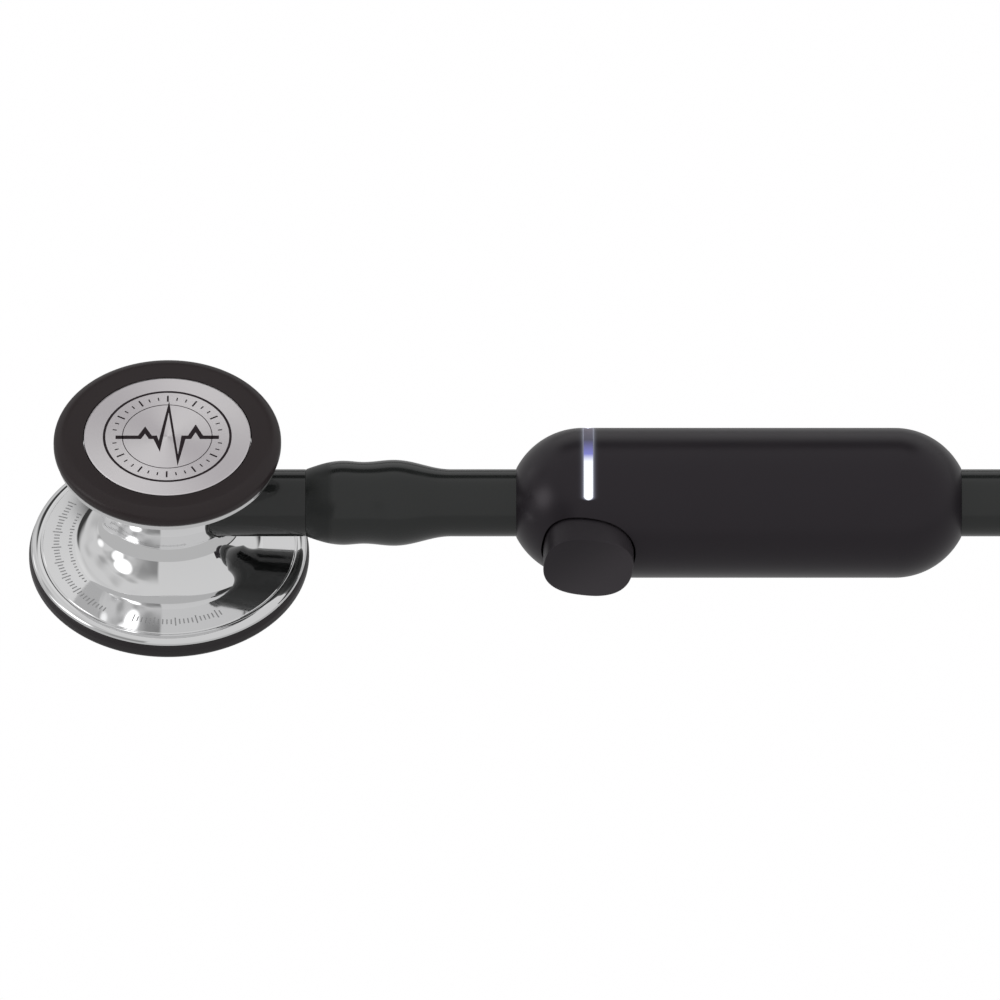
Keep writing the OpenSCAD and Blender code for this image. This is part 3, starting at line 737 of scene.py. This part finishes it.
def box_cutter(low, high):
    verts = [point(x, y, z) for x in (low[0], high[0]) for y in (low[1], high[1]) for z in (low[2], high[2])]
    faces = [(0, 1, 3, 2), (4, 6, 7, 5), (0, 4, 5, 1), (2, 3, 7, 6), (0, 2, 6, 4), (1, 5, 7, 3)]
    return make_object("cutter", verts, faces, [])


def cut(obj, cutters, operation="DIFFERENCE"):
    for cutter in cutters:
        bpy.context.view_layer.objects.active = obj
        mod = obj.modifiers.new("cut", "BOOLEAN")
        mod.operation = operation
        mod.solver = "EXACT"
        mod.object = cutter
        bpy.ops.object.modifier_apply(modifier=mod.name)
        bpy.data.objects.remove(cutter, do_unlink=True)
    return obj


# ---------------------------------------------------------------- stem and chest tube
def stem():
    inner_end = node_mm("stem")[0].x
    profile = rounded([
        (inner_end, 0), (inner_end, 4.2, 0.3), (6.3, 4.2), (6.3, TUBE_R, 0.1),
        (STEM_END - 0.02, TUBE_R, 0.10), (STEM_END - 0.02, 4.0), (44, 3.6, 0.3), (44, 0),
    ], 6)
    obj = revolve("stem_look", profile, [STEM], axis="X", n=128)
    return own(obj, "stem", "black_coated_metal", "stem")


def ease(x, x0, x1, y0, y1):
    return y0 + (y1 - y0) * (1 - math.cos(math.pi * (x - x0) / (x1 - x0))) / 2


SWELL, DIP, SWELL_2, SETTLE = 29.2, 32.6, 37.6, 47.2


def chest_tube_radius(x):
    if x < SWELL:
        return TUBE_R + 1.42 * math.sin(math.pi / 2 * (x - STEM_END) / (SWELL - STEM_END))
    if x < DIP:
        return ease(x, SWELL, DIP, TUBE_R + 1.42, TUBE_R + 1.22)
    if x < SWELL_2:
        return ease(x, DIP, SWELL_2, TUBE_R + 1.22, TUBE_R + 1.57)
    if x < SETTLE:
        return ease(x, SWELL_2, SETTLE, TUBE_R + 1.57, TUBE_R)
    return TUBE_R


def chest_tube():
    end = MODULE_A - math.sqrt(MODULE_R ** 2 - TUBE_R ** 2) + 3.5
    xs = [STEM_END + (end - STEM_END) * i / 160 for i in range(161)]
    profile = [(STEM_END, 4.2)] + [
        (x, chest_tube_radius(x) - 0.06 * math.exp(-(x - STEM_END) / 0.06))
        for x in xs
    ]
    obj = revolve("chest_tube_look", profile + [(end, 3.0)], [CHEST_TUBING], axis="X", n=128, closed=True)
    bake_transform(obj)
    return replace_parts(obj, "chest_tube")


# ---------------------------------------------------------------- module
def capsule(name, radius, mats, n=192):
    profile = arc((MODULE_A, 0), radius, radius, 180, 90, 48)
    profile += [(MODULE_A + (MODULE_B - MODULE_A) * k / 40, radius) for k in range(1, 40)]
    profile += arc((MODULE_B, 0), radius, radius, 90, 0, 48)
    profile = [(x, max(0.0, r)) for x, r in profile]
    profile[0], profile[-1] = (MODULE_A - radius, 0.0), (MODULE_B + radius, 0.0)
    return revolve(name, profile, mats, axis="X", n=n)


def prism(outline, start, end, facing):
    """A straight bar from a flat outline, along -Y (facing front) or +Y."""
    n = len(outline)
    sign = -1 if facing == "front" else 1
    verts = [point(x, sign * d, z) for d in (start, end) for x, z in outline]
    faces = [tuple(range(n)), tuple(range(2 * n - 1, n - 1, -1))]
    faces += [(k, (k + 1) % n, n + (k + 1) % n, n + k) for k in range(n)]
    return make_object("cutter", verts, faces, [])


def stadium(x, z, length, height, n=24):
    half = (length - height) / 2
    r = height / 2
    out = []
    for side, first in ((half, -0.5), (-half, 0.5)):
        for k in range(n + 1):
            t = math.pi * (k / n + first)
            out.append((x + side + r * math.cos(t), z + r * math.sin(t)))
    return out


BUTTON_A, BUTTON_B, BUTTON_POWER, BUTTON_TURN = 7.46, 6.60, 2.5, math.radians(-9)
BUTTON_Z = -0.15


def button_outline(grow=0.0, n=96):
    """The button's rounded oval, turned a little."""
    out = []
    for k in range(n):
        t = 2 * math.pi * k / n
        c, s = math.cos(t), math.sin(t)
        x = (BUTTON_A + grow) * math.copysign(abs(c) ** (2 / BUTTON_POWER), c)
        z = (BUTTON_B + grow) * math.copysign(abs(s) ** (2 / BUTTON_POWER), s)
        out.append((
            BUTTON_X + x * math.cos(BUTTON_TURN) - z * math.sin(BUTTON_TURN),
            BUTTON_Z + x * math.sin(BUTTON_TURN) + z * math.cos(BUTTON_TURN),
        ))
    return out


def light_strip(name, width, inner, outer, mats):
    """The curved bar over the module's top, with round ends."""
    half = width / 2
    end = math.radians(LIGHT_END)
    cap = half / MODULE_R
    stations = []
    for k in range(13):
        t = math.pi / 2 * k / 12
        stations.append((end - cap * math.cos(t), half * math.sin(t)))
    for k in range(1, 48):
        stations.append((end + (math.pi - 2 * end) * k / 48, half))
    for k in range(13):
        t = math.pi / 2 * k / 12
        stations.append((math.pi - end + cap * math.sin(t), half * math.cos(t)))
    verts, faces = [], []
    for angle, w in stations:
        w = max(w, 0.004)
        for radius in (inner, outer):
            y, z = -radius * math.cos(angle), radius * math.sin(angle)
            verts += [point(LIGHT_X - w, y, z), point(LIGHT_X + w, y, z)]
    for k in range(len(stations) - 1):
        a, b = 4 * k, 4 * k + 4
        faces += [
            (a, a + 1, b + 1, b), (a + 2, b + 2, b + 3, a + 3), (a, b, b + 2, a + 2),
            (a + 1, a + 3, b + 3, b + 1),
        ]
    last = 4 * (len(stations) - 1)
    faces += [(0, 2, 3, 1), (last, last + 1, last + 3, last + 2)]
    return make_object(name, verts, faces, mats)


def true_normals(obj):
    """Gives the capsule's skin its exact normals, so cuts leave no marks in the shading."""
    mesh = obj.data
    a, b = point(MODULE_A, 0, 0), point(MODULE_B, 0, 0)
    normals = [None] * len(mesh.loops)
    corner = mesh.corner_normals
    for face in mesh.polygons:
        for li in face.loop_indices:
            co = mesh.vertices[mesh.loops[li].vertex_index].co
            x = min(max(co.x, a.x), b.x)
            out = co - Vector((x, a.y, a.z))
            exact = out.normalized() if out.length > 1e-9 else face.normal
            on_skin = abs(out.length - MODULE_R * MM) < 4e-5 and exact.dot(face.normal) > 0.985
            normals[li] = exact if on_skin else Vector(corner[li].vector)
    mesh.normals_split_custom_set(normals)


def housing():
    body = capsule("housing_look", MODULE_R, [HOUSING])
    wall = 1.5
    low_x, high_x = COVER_LOW.x - 0.1, COVER_HIGH.x + 0.1
    cutters = [
        capsule("cutter", MODULE_R - wall, [], n=96),
        box_cutter((low_x, -MODULE_R, -MODULE_R - 1), (high_x, MODULE_R, -9.6)),
        cylinder_cutter("X", MODULE_A - MODULE_R - 1, MODULE_A, TUBE_R + 0.12),
        cylinder_cutter("X", MODULE_B, MODULE_B + MODULE_R + 1, TUBE_R + 0.12),
        light_strip("cutter", LIGHT_W, MODULE_R - 2.5, MODULE_R + 1, []),
        prism(button_outline(0.3), 0.5, MODULE_R + 1, "front"),
    ]
    for node in ("volume_up_button", "volume_down_button"):
        low, high = node_mm(node)
        x = (low.x + high.x) / 2
        cutters.append(prism(stadium(x, 0, 9.3, 4.9), 0.5, MODULE_R + 1, "back"))
    low, high = node_mm("charging_socket")
    cutters.append(prism(stadium((low.x + high.x) / 2, 0, 9.3, 3.5), 0.5, MODULE_R + 1, "back"))
    cut(body, cutters)
    finish_mesh(body.data, 30)
    true_normals(body)
    return own(body, "module", "module_plastic", "housing")


def bottom_cover():
    body = capsule("bottom_cover_look", MODULE_R, [HOUSING])
    cut(
        body, [box_cutter((COVER_LOW.x, -MODULE_R, -MODULE_R - 1), (COVER_HIGH.x, MODULE_R, -9.9))],
        "INTERSECT",
    )
    low, high = node_mm("cover_screws")
    holes = [
        cylinder_cutter("Z", -MODULE_R - 1, -10.8, 1.45, (x, y), 48)
        for x in (low.x + 1.35, high.x - 1.35)
        for y in (-3, 3)
    ]
    cut(body, [capsule("cutter", MODULE_R - 1.5, [], n=96)] + holes)
    finish_mesh(body.data, 30)
    true_normals(body)
    return own(body, "module", "module_plastic", "bottom_cover")


def light_pipe():
    strip = light_strip("light_pipe_look", LIGHT_W - 0.06, MODULE_R - 2.4, MODULE_R - 0.01, [LIGHT])
    return own(strip, "module", "light_window", "light_pipe")


def layered(name, outlines, mats, body_place, sharp=35):
    """Stacks outlines of equal length into a closed body and caps it."""
    n = len(outlines[0][1])
    verts = [body_place(x, depth, z) for depth, outline in outlines for x, z in outline]
    faces = []
    for k in range(len(outlines) - 1):
        for i in range(n):
            j = (i + 1) % n
            faces.append((k * n + i, k * n + j, (k + 1) * n + j, (k + 1) * n + i))
    faces.append(tuple(range(n - 1, -1, -1)))
    last = (len(outlines) - 1) * n
    faces.append(tuple(range(last, last + n)))
    return make_object(name, verts, faces, mats, sharp=sharp)


def mode_button():
    edge = 0.28
    layers = [(9.2, button_outline(-0.02)), (BUTTON_FACE - 0.35 - edge, button_outline(-0.02))]
    for k in range(1, 6):
        t = math.pi / 2 * k / 5
        layers.append((
            BUTTON_FACE - 0.35 - edge + edge * math.sin(t),
            button_outline(-0.02 - edge * (1 - math.cos(t))),
        ))
    for k in range(1, 12):
        share = 1 - (1 - k / 12) ** 2
        left = 1 - k / 12
        outline = button_outline(-0.02 - edge)
        ring = [(BUTTON_X + (x - BUTTON_X) * left, BUTTON_Z + (z - BUTTON_Z) * left) for x, z in outline]
        layers.append((BUTTON_FACE - 0.35 + 0.35 * share, ring))
    obj = layered("mode_button_look", layers, [BUTTON], lambda x, d, z: point(x, -d, z))
    return own(obj, "mode_button", "button_plastic", "mode_button")


def volume_button(node):
    low, high = node_mm(node)
    x = (low.x + high.x) / 2
    edge = 0.3
    top = high.y
    layers = [(10.2, stadium(x, 0, 9.0, 4.6))]
    layers.append((top - 0.5, stadium(x, 0, 9.0, 4.6)))
    for k in range(1, 6):
        t = math.pi / 2 * k / 5
        layers.append((
            top - 0.5 + edge * math.sin(t),
            stadium(x, 0, 9.0 - 2 * edge * (1 - math.cos(t)), 4.6 - 2 * edge * (1 - math.cos(t))),
        ))
    for k in range(1, 6):
        layers.append((
            top - 0.2 + 0.2 * (1 - (1 - k / 6) ** 2),
            [
                (x + (px - x) * (1 - k / 6), pz * (1 - k / 6))
                for px, pz in stadium(x, 0, 9.0 - 2 * edge, 4.6 - 2 * edge)
            ],
        ))
    obj = layered(node + "_look", layers, [BUTTON], lambda px, d, z: point(px, d, z))
    return own(obj, node, "button_plastic", node)


# ---------------------------------------------------------------- main tube and headset
LOOP_R, DROP_RUN, DROP_LINK = 97.0, 40.0, 1.0
MAIN_X = MODULE_B + 8.9 + 0.05
DROP_ANGLE = 2 * math.degrees(math.atan(-TABLE_Z / DROP_RUN))
DROP_TURN = math.radians(DROP_ANGLE)
DROP_R = (-TABLE_Z - DROP_LINK * math.sin(DROP_TURN)) / 2 / (1 - math.cos(DROP_TURN))
ARM_R, FORK_R, FORK_X, ARM_ANGLE, ARM_L = 4.5, 14.6, 22.0, 24.0, 45.0
EAR_R, EAR_STRAIGHT, EAR_BEND_R, EAR_TIP, EAR_END_R, EAR_RISE = 3.1, 38.0, 65.0, 8.0, 20.0, 18.0


def main_line():
    line = Line(Matrix.Translation((MAIN_X - 4.0, 0, 0)))
    line.straight(14, 14)
    line.roll(-90).turn(DROP_R, DROP_ANGLE, 16).straight(DROP_LINK).turn(DROP_R, -DROP_ANGLE, 16).roll(90)
    line.straight(1).turn(LOOP_R, 180, 144)
    return line


HEADSET = main_line().at.copy()


def main_tube():
    line = main_line()
    line.straight(1.5)
    obj = sweep("main_tube_look", line.frames, TUBE_R, [TUBING], n=64)
    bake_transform(obj)
    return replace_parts(obj, "y_tubing")


def in_fork(side, x, y, heading):
    """A place in the fork's plane, measured from the main tube's end; side 1 is the wearer's right."""
    mirrored = HEADSET @ Matrix.Scale(side, 4, (0, 1, 0))
    return mirrored @ Matrix.Translation((x, y, 0)) @ Matrix.Rotation(heading, 4, "Z")


def in_headset(side):
    """A line that starts where one side's arm leaves the fork's bend."""
    a = math.radians(90 + ARM_ANGLE)
    return Line(in_fork(side, FORK_X + FORK_R * math.cos(a), FORK_R * math.sin(a), math.radians(ARM_ANGLE)))


ARM_SEAM = 2.0


def fork():
    """The moulded Y: where the main tube splits into the two arms."""
    pieces = []
    base = Line(HEADSET @ Matrix.Translation((-2.0, 0, 0)))
    base.straight(FORK_X - FORK_R + 3.0, 12)
    pieces.append(sweep("fork", base.frames, TUBE_R, [TUBING], n=64))
    for side in (1, -1):
        bend = Line(in_fork(side, FORK_X - FORK_R, 0, math.radians(90)))
        bend.turn(FORK_R, -(90 - ARM_ANGLE), 28).straight(ARM_SEAM + 1, 3)
        radii = [ARM_R + 0.55 * math.exp(-k / 7) for k in range(len(bend.frames))]
        pieces.append(sweep("fork", bend.frames, radii, [TUBING], n=56))
        # a web from the trunk's middle to the bend's, which fills the outer crook
        joins = math.radians(55)
        meet = (FORK_X - FORK_R * math.cos(joins), FORK_R * math.sin(joins))
        before = (meet[0] - 6 * math.sin(joins), meet[1] - 6 * math.cos(joins))
        path = bezier((-2.0, 0), (4.0, 0), before, meet, 16)
        web = []
        for here, after in zip(path, path[1:]):
            heading = math.atan2(after[1] - here[1], after[0] - here[0])
            web.append(in_fork(side, *here, heading))
        pieces.append(sweep("fork", web, [TUBE_R - 0.05 - 1.1 * k / 15 for k in range(16)], [TUBING], n=56))
    obj = join("fork_look", pieces)
    remesh = obj.modifiers.new("remesh", "REMESH")
    remesh.mode = "VOXEL"
    remesh.voxel_size = 0.00045
    smooth = obj.modifiers.new("smooth", "SMOOTH")
    smooth.factor = 0.6
    smooth.iterations = 14
    bpy.context.view_layer.objects.active = obj
    for mod in ("remesh", "smooth"):
        bpy.ops.object.modifier_apply(modifier=mod)
    obj.data.polygons.foreach_set("use_smooth", [True] * len(obj.data.polygons))
    return own(obj, "headset", "tubing", "y_tubing")


def arm(side, body):
    line = in_headset(side)
    line.straight(ARM_SEAM)
    line.frames = [line.at.copy()]
    line.straight(ARM_L - ARM_SEAM - 0.6, 40).straight(0.3).straight(0.2).straight(0.1)
    radii = [ARM_R - 0.15] + [ARM_R] * (len(line.frames) - 4) + [ARM_R - 0.1, ARM_R - 0.3, ARM_R - 0.7]
    obj = sweep(body + "_arm_look", line.frames, radii, [TUBING], n=56)
    middle = in_headset(side).straight(24).at.translation
    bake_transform(obj)
    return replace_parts(obj, "y_tubing")


def ear(side, body, prefix):
    line = in_headset(side)
    line.straight(ARM_L - 14)
    line.frames = [line.at.copy()]
    line.straight(14.24, 4)
    neck = len(line.frames)
    line.straight(0.02).straight(0.18).straight(EAR_STRAIGHT - 0.2, 10)
    line.turn(EAR_BEND_R, -(ARM_ANGLE + 26), 40).straight(EAR_TIP, 4)
    line.roll(-EAR_RISE).turn(EAR_END_R, -36, 24).straight(6, 4)
    radii = [2.35] * neck + [EAR_R - 0.2] + [EAR_R] * (len(line.frames) - neck - 1)
    tube = sweep(prefix + "_ear_tube_look", line.frames, radii, [EAR_METAL], n=48)
    own(tube, body, "ear_tube_metal", prefix + "_ear_tube")
    end = line.at

    def place(x, y, z):
        return point(*(end @ Vector((x, y, z))))

    shape = rounded([
        (-5, EAR_R + 0.01), (-5, 3.75, 0.2), (-4.5, 3.95, 0.3), (0.4, 3.95, 0.3),
        (0.8, 3.7, 0.1), (0.8, 2.9), (4.8, 2.8, 0.2), (4.8, 1.9),
    ], 4)
    ferrule = revolve(
        prefix + "_ear_ferrule_look", shape, [FERRULE], axis="X", n=72, closed=True, place=place,
    )
    own(ferrule, body, "ferrule_metal", prefix + "_ear_ferrule")
    shape = [(0.85, 3.25), (0.85, 3.7), (1.0, 3.9)]
    shape += arc((7.0, 3.2), 5.4, 2.6, 162, 92, 16) + arc((7.0, 2.2), 7.6, 3.6, 89, 14, 24)
    shape += [(14.2, 2.6), (14.25, 2.3), (14.1, 2.0), (13.6, 1.65), (12.5, 1.5), (4.9, 1.5), (4.9, 3.25)]
    tip = revolve(
        prefix + "_eartip_look", shape, [SILICONE], axis="X", n=96, closed=True, place=place, sharp=50,
    )
    own(tip, body, "eartip_silicone", prefix + "_eartip")


def leaf_spring():
    """The flat spring inside the fork, one half for each side."""
    for side, body in ((1, "right_ear"), (-1, "left_ear")):
        line = Line(in_fork(side, FORK_X - FORK_R + 2.6, 0, math.radians(90)))
        line.turn(FORK_R - 2.6, -(90 - ARM_ANGLE), 24).straight(28, 20)
        verts, faces = [], []
        for m in line.frames:
            for y, z in ((-0.25, -2.2), (0.25, -2.2), (0.25, 2.2), (-0.25, 2.2)):
                verts.append(point(*(m @ Vector((0, y, z)))))
        for k in range(len(line.frames) - 1):
            a, b = 4 * k, 4 * k + 4
            faces += [(a + i, a + (i + 1) % 4, b + (i + 1) % 4, b + i) for i in range(4)]
        last = 4 * (len(line.frames) - 1)
        faces += [(0, 1, 2, 3), (last, last + 3, last + 2, last + 1)]
        obj = make_object(body + "_leaf_spring_look", verts, faces, [STEEL])
        root = in_headset(side).straight(2.0).at.translation
        middle = in_headset(side).straight(24).at.translation
        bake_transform(obj)
        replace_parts(obj, "leaf_spring")


# ---------------------------------------------------------------- hidden insides keep their CAD shape
def inside_materials():
    circuit = soft_material("solder_mask", (0.012, 0.075, 0.035), 0.3, 1500, 0.05).mat
    black = soft_material("moulded_black", (0.012, 0.012, 0.013), 0.45, 2000, 0.05).mat
    grey = soft_material("moulded_grey", (0.05, 0.05, 0.055), 0.5, 2000, 0.06).mat
    white = soft_material("white_component", (0.6, 0.6, 0.58), 0.35, 2000, 0.03).mat
    foil = metal_material("battery_foil", (0.6, 0.6, 0.62), 0.3, 0.1).mat
    can = metal_material("metal_can", (0.6, 0.6, 0.6), 0.28, 0.06).mat
    screw = metal_material("blackened_steel", (0.09, 0.09, 0.095), 0.35, 0.08).mat
    seal = soft_material("seal_rubber", (0.014, 0.014, 0.014), 0.6, 2000, 0.08).mat
    return {
        "led_board": circuit, "circuit_board": circuit, "switch_board": circuit, "radio_chip": black,
        "indicator_leds": white, "battery": foil, "acoustic_duct": grey, "inlet_connector": grey,
        "outlet_connector": grey, "button_guide": grey, "microphone": can, "charging_socket": can,
        "speaker": black, "mode_switch": black, "volume_switches": black, "button_spring": STEEL,
        "cover_screws": screw, "cover_seal": seal, "stem_seal": seal, "detent_ball": STEEL,
        "detent_spring": STEEL, "retaining_ring": STEEL,
    }


def dress_inside():
    for node, mat in inside_materials().items():
        mesh = frame["nodes"][node].data
        mesh.materials.clear()
        mesh.materials.append(mat)


# ---------------------------------------------------------------- studio
CENTRE = (55.3, 0.0, 0.66)
DISTANCE = 3.5
WIDTH = 166.7 * MM


def studio():
    scene = bpy.context.scene
    floor = make_object(
        "floor", [(-9, -9, 0), (9, -9, 0), (9, 9, 0), (-9, 9, 0)], [(0, 1, 2, 3)], [floor_material()],
    )
    floor.location.z = CAD_BOX[0][2] - 0.0002
    world_light(scene)
    target = point(*CENTRE)
    hub = point(0, 0, -5)
    key = area_light("key_softbox", hub + Vector((-0.9, -0.6, 1.1)), hub, 0.8, 0.8, 1.5)
    key.visible_glossy = False
    cam = bpy.data.cameras.new("camera")
    cam.type = "PERSP"
    cam.sensor_width = 36
    cam.lens = 36 * DISTANCE / WIDTH
    cam.clip_end = 60
    camera = bpy.data.objects.new("camera", cam)
    scene.collection.objects.link(camera)
    camera.location = target + Vector((0, -1, 1)).normalized() * DISTANCE
    camera.rotation_euler = (target - camera.location).to_track_quat("-Z", "Y").to_euler()
    scene.camera = camera
    scene.view_settings.view_transform = "Standard"
    scene.view_settings.look = "None"


def area_light(name, where, target, width, height, power, colour=(1, 1, 1)):
    data = bpy.data.lights.new(name, "AREA")
    data.shape = "RECTANGLE"
    data.size, data.size_y = width, height
    data.energy = power
    data.color = colour
    lamp = bpy.data.objects.new(name, data)
    bpy.context.scene.collection.objects.link(lamp)
    lamp.location = where
    lamp.rotation_euler = (target - where).to_track_quat("-Z", "Y").to_euler()
    lamp.visible_camera = False
    return lamp


def floor_material():
    """A pale studio floor: white to the camera, evenly bright in reflections."""
    mat = bpy.data.materials.new("studio_floor")
    s = Nodes(mat, "Generated", empty=True)
    grain = s.add("ShaderNodeMapRange")
    grain.inputs["To Min"].default_value = 0.45
    grain.inputs["To Max"].default_value = 0.49
    s.link(s.noise(3, 2), grain.inputs["Value"])
    s.white_to_camera("ShaderNodeEmission", "Strength", grain.outputs["Result"], "ShaderNodeOutputMaterial")
    return mat


def world_light(scene):
    """White to the camera; in reflections a pale dome with a dark band, three lamps and a dark flag."""
    world = bpy.data.worlds.new("studio")
    scene.world = world
    s = Nodes(world, "Generated", empty=True)

    def greys(*stops):
        return [(position, (value, value, value)) for position, value in stops]

    east, north, height = s.axes()
    # behind: a dark band where the wall meets the ceiling, narrow enough to miss the chestpiece's left side
    back = s.ramp(height, greys(
        (0.0, 0.60), (0.37, 0.60), (0.44, 0.04), (0.645, 0.04), (0.675, 0.64), (0.75, 0.70),
        (0.85, 0.63), (1.0, 0.62),
    ))
    front = s.ramp(height, greys((0.0, 0.60), (1.0, 0.62)))
    away = s.math("ARCTAN2", s.math("ABSOLUTE", east, 0.0), north)
    dome = s.mix(s.step(away, math.radians(20), math.radians(34)), back, front)
    west = s.step(s.math("MULTIPLY", east, -1.0), 0.25, 0.65)
    patches = s.math("MULTIPLY", west, s.step(s.noise(2.6, 1), 0.40, 0.68))
    dome = s.mix(s.math("MULTIPLY", patches, 0.62), dome, (0.22, 0.22, 0.22))
    # three soft lamps on the left
    for toward, inner, outer, value in (
        ((-0.888, -0.240, 0.392), 6, 17, 2.2),
        ((-0.98, -0.03, 0.13), 3, 13, 1.5),
        ((-0.824, 0.553, 0.125), 1, 8, 1.1),
    ):
        facing = s.add("ShaderNodeVectorMath", operation="DOT_PRODUCT")
        s.link(s.place, facing.inputs[0])
        facing.inputs[1].default_value = Vector(toward).normalized()
        spot = s.step(facing.outputs["Value"], math.cos(math.radians(outer)), math.cos(math.radians(inner)))
        dome = s.mix(spot, dome, (value, value, value))
    # a dark flag to the left of the camera
    turn = s.math("ARCTAN2", s.math("MULTIPLY", east, -1.0), s.math("MULTIPLY", north, -1.0))
    near = s.step(turn, math.radians(14.5), math.radians(19.5))
    far = s.math("SUBTRACT", 1.0, s.step(turn, math.radians(22), math.radians(78)))
    low = s.math("SUBTRACT", 1.0, s.step(height, 0.35, 0.85))
    flag = s.math("MULTIPLY", s.math("MULTIPLY", near, far), low)
    dome = s.mix(flag, dome, (0.24, 0.24, 0.24))
    s.white_to_camera("ShaderNodeBackground", "Color", dome, "ShaderNodeOutputWorld")


# ---------------------------------------------------------------- build
chestpiece_body()
rims_and_faces()
badge()
stem()
chest_tube()
housing()
bottom_cover()
light_pipe()
mode_button()
volume_button("volume_up_button")
volume_button("volume_down_button")
main_tube()
fork()
arm(1, "right_ear")
arm(-1, "left_ear")
ear(1, "right_ear", "right")
ear(-1, "left_ear", "left")
leaf_spring()
dress_inside()
studio()
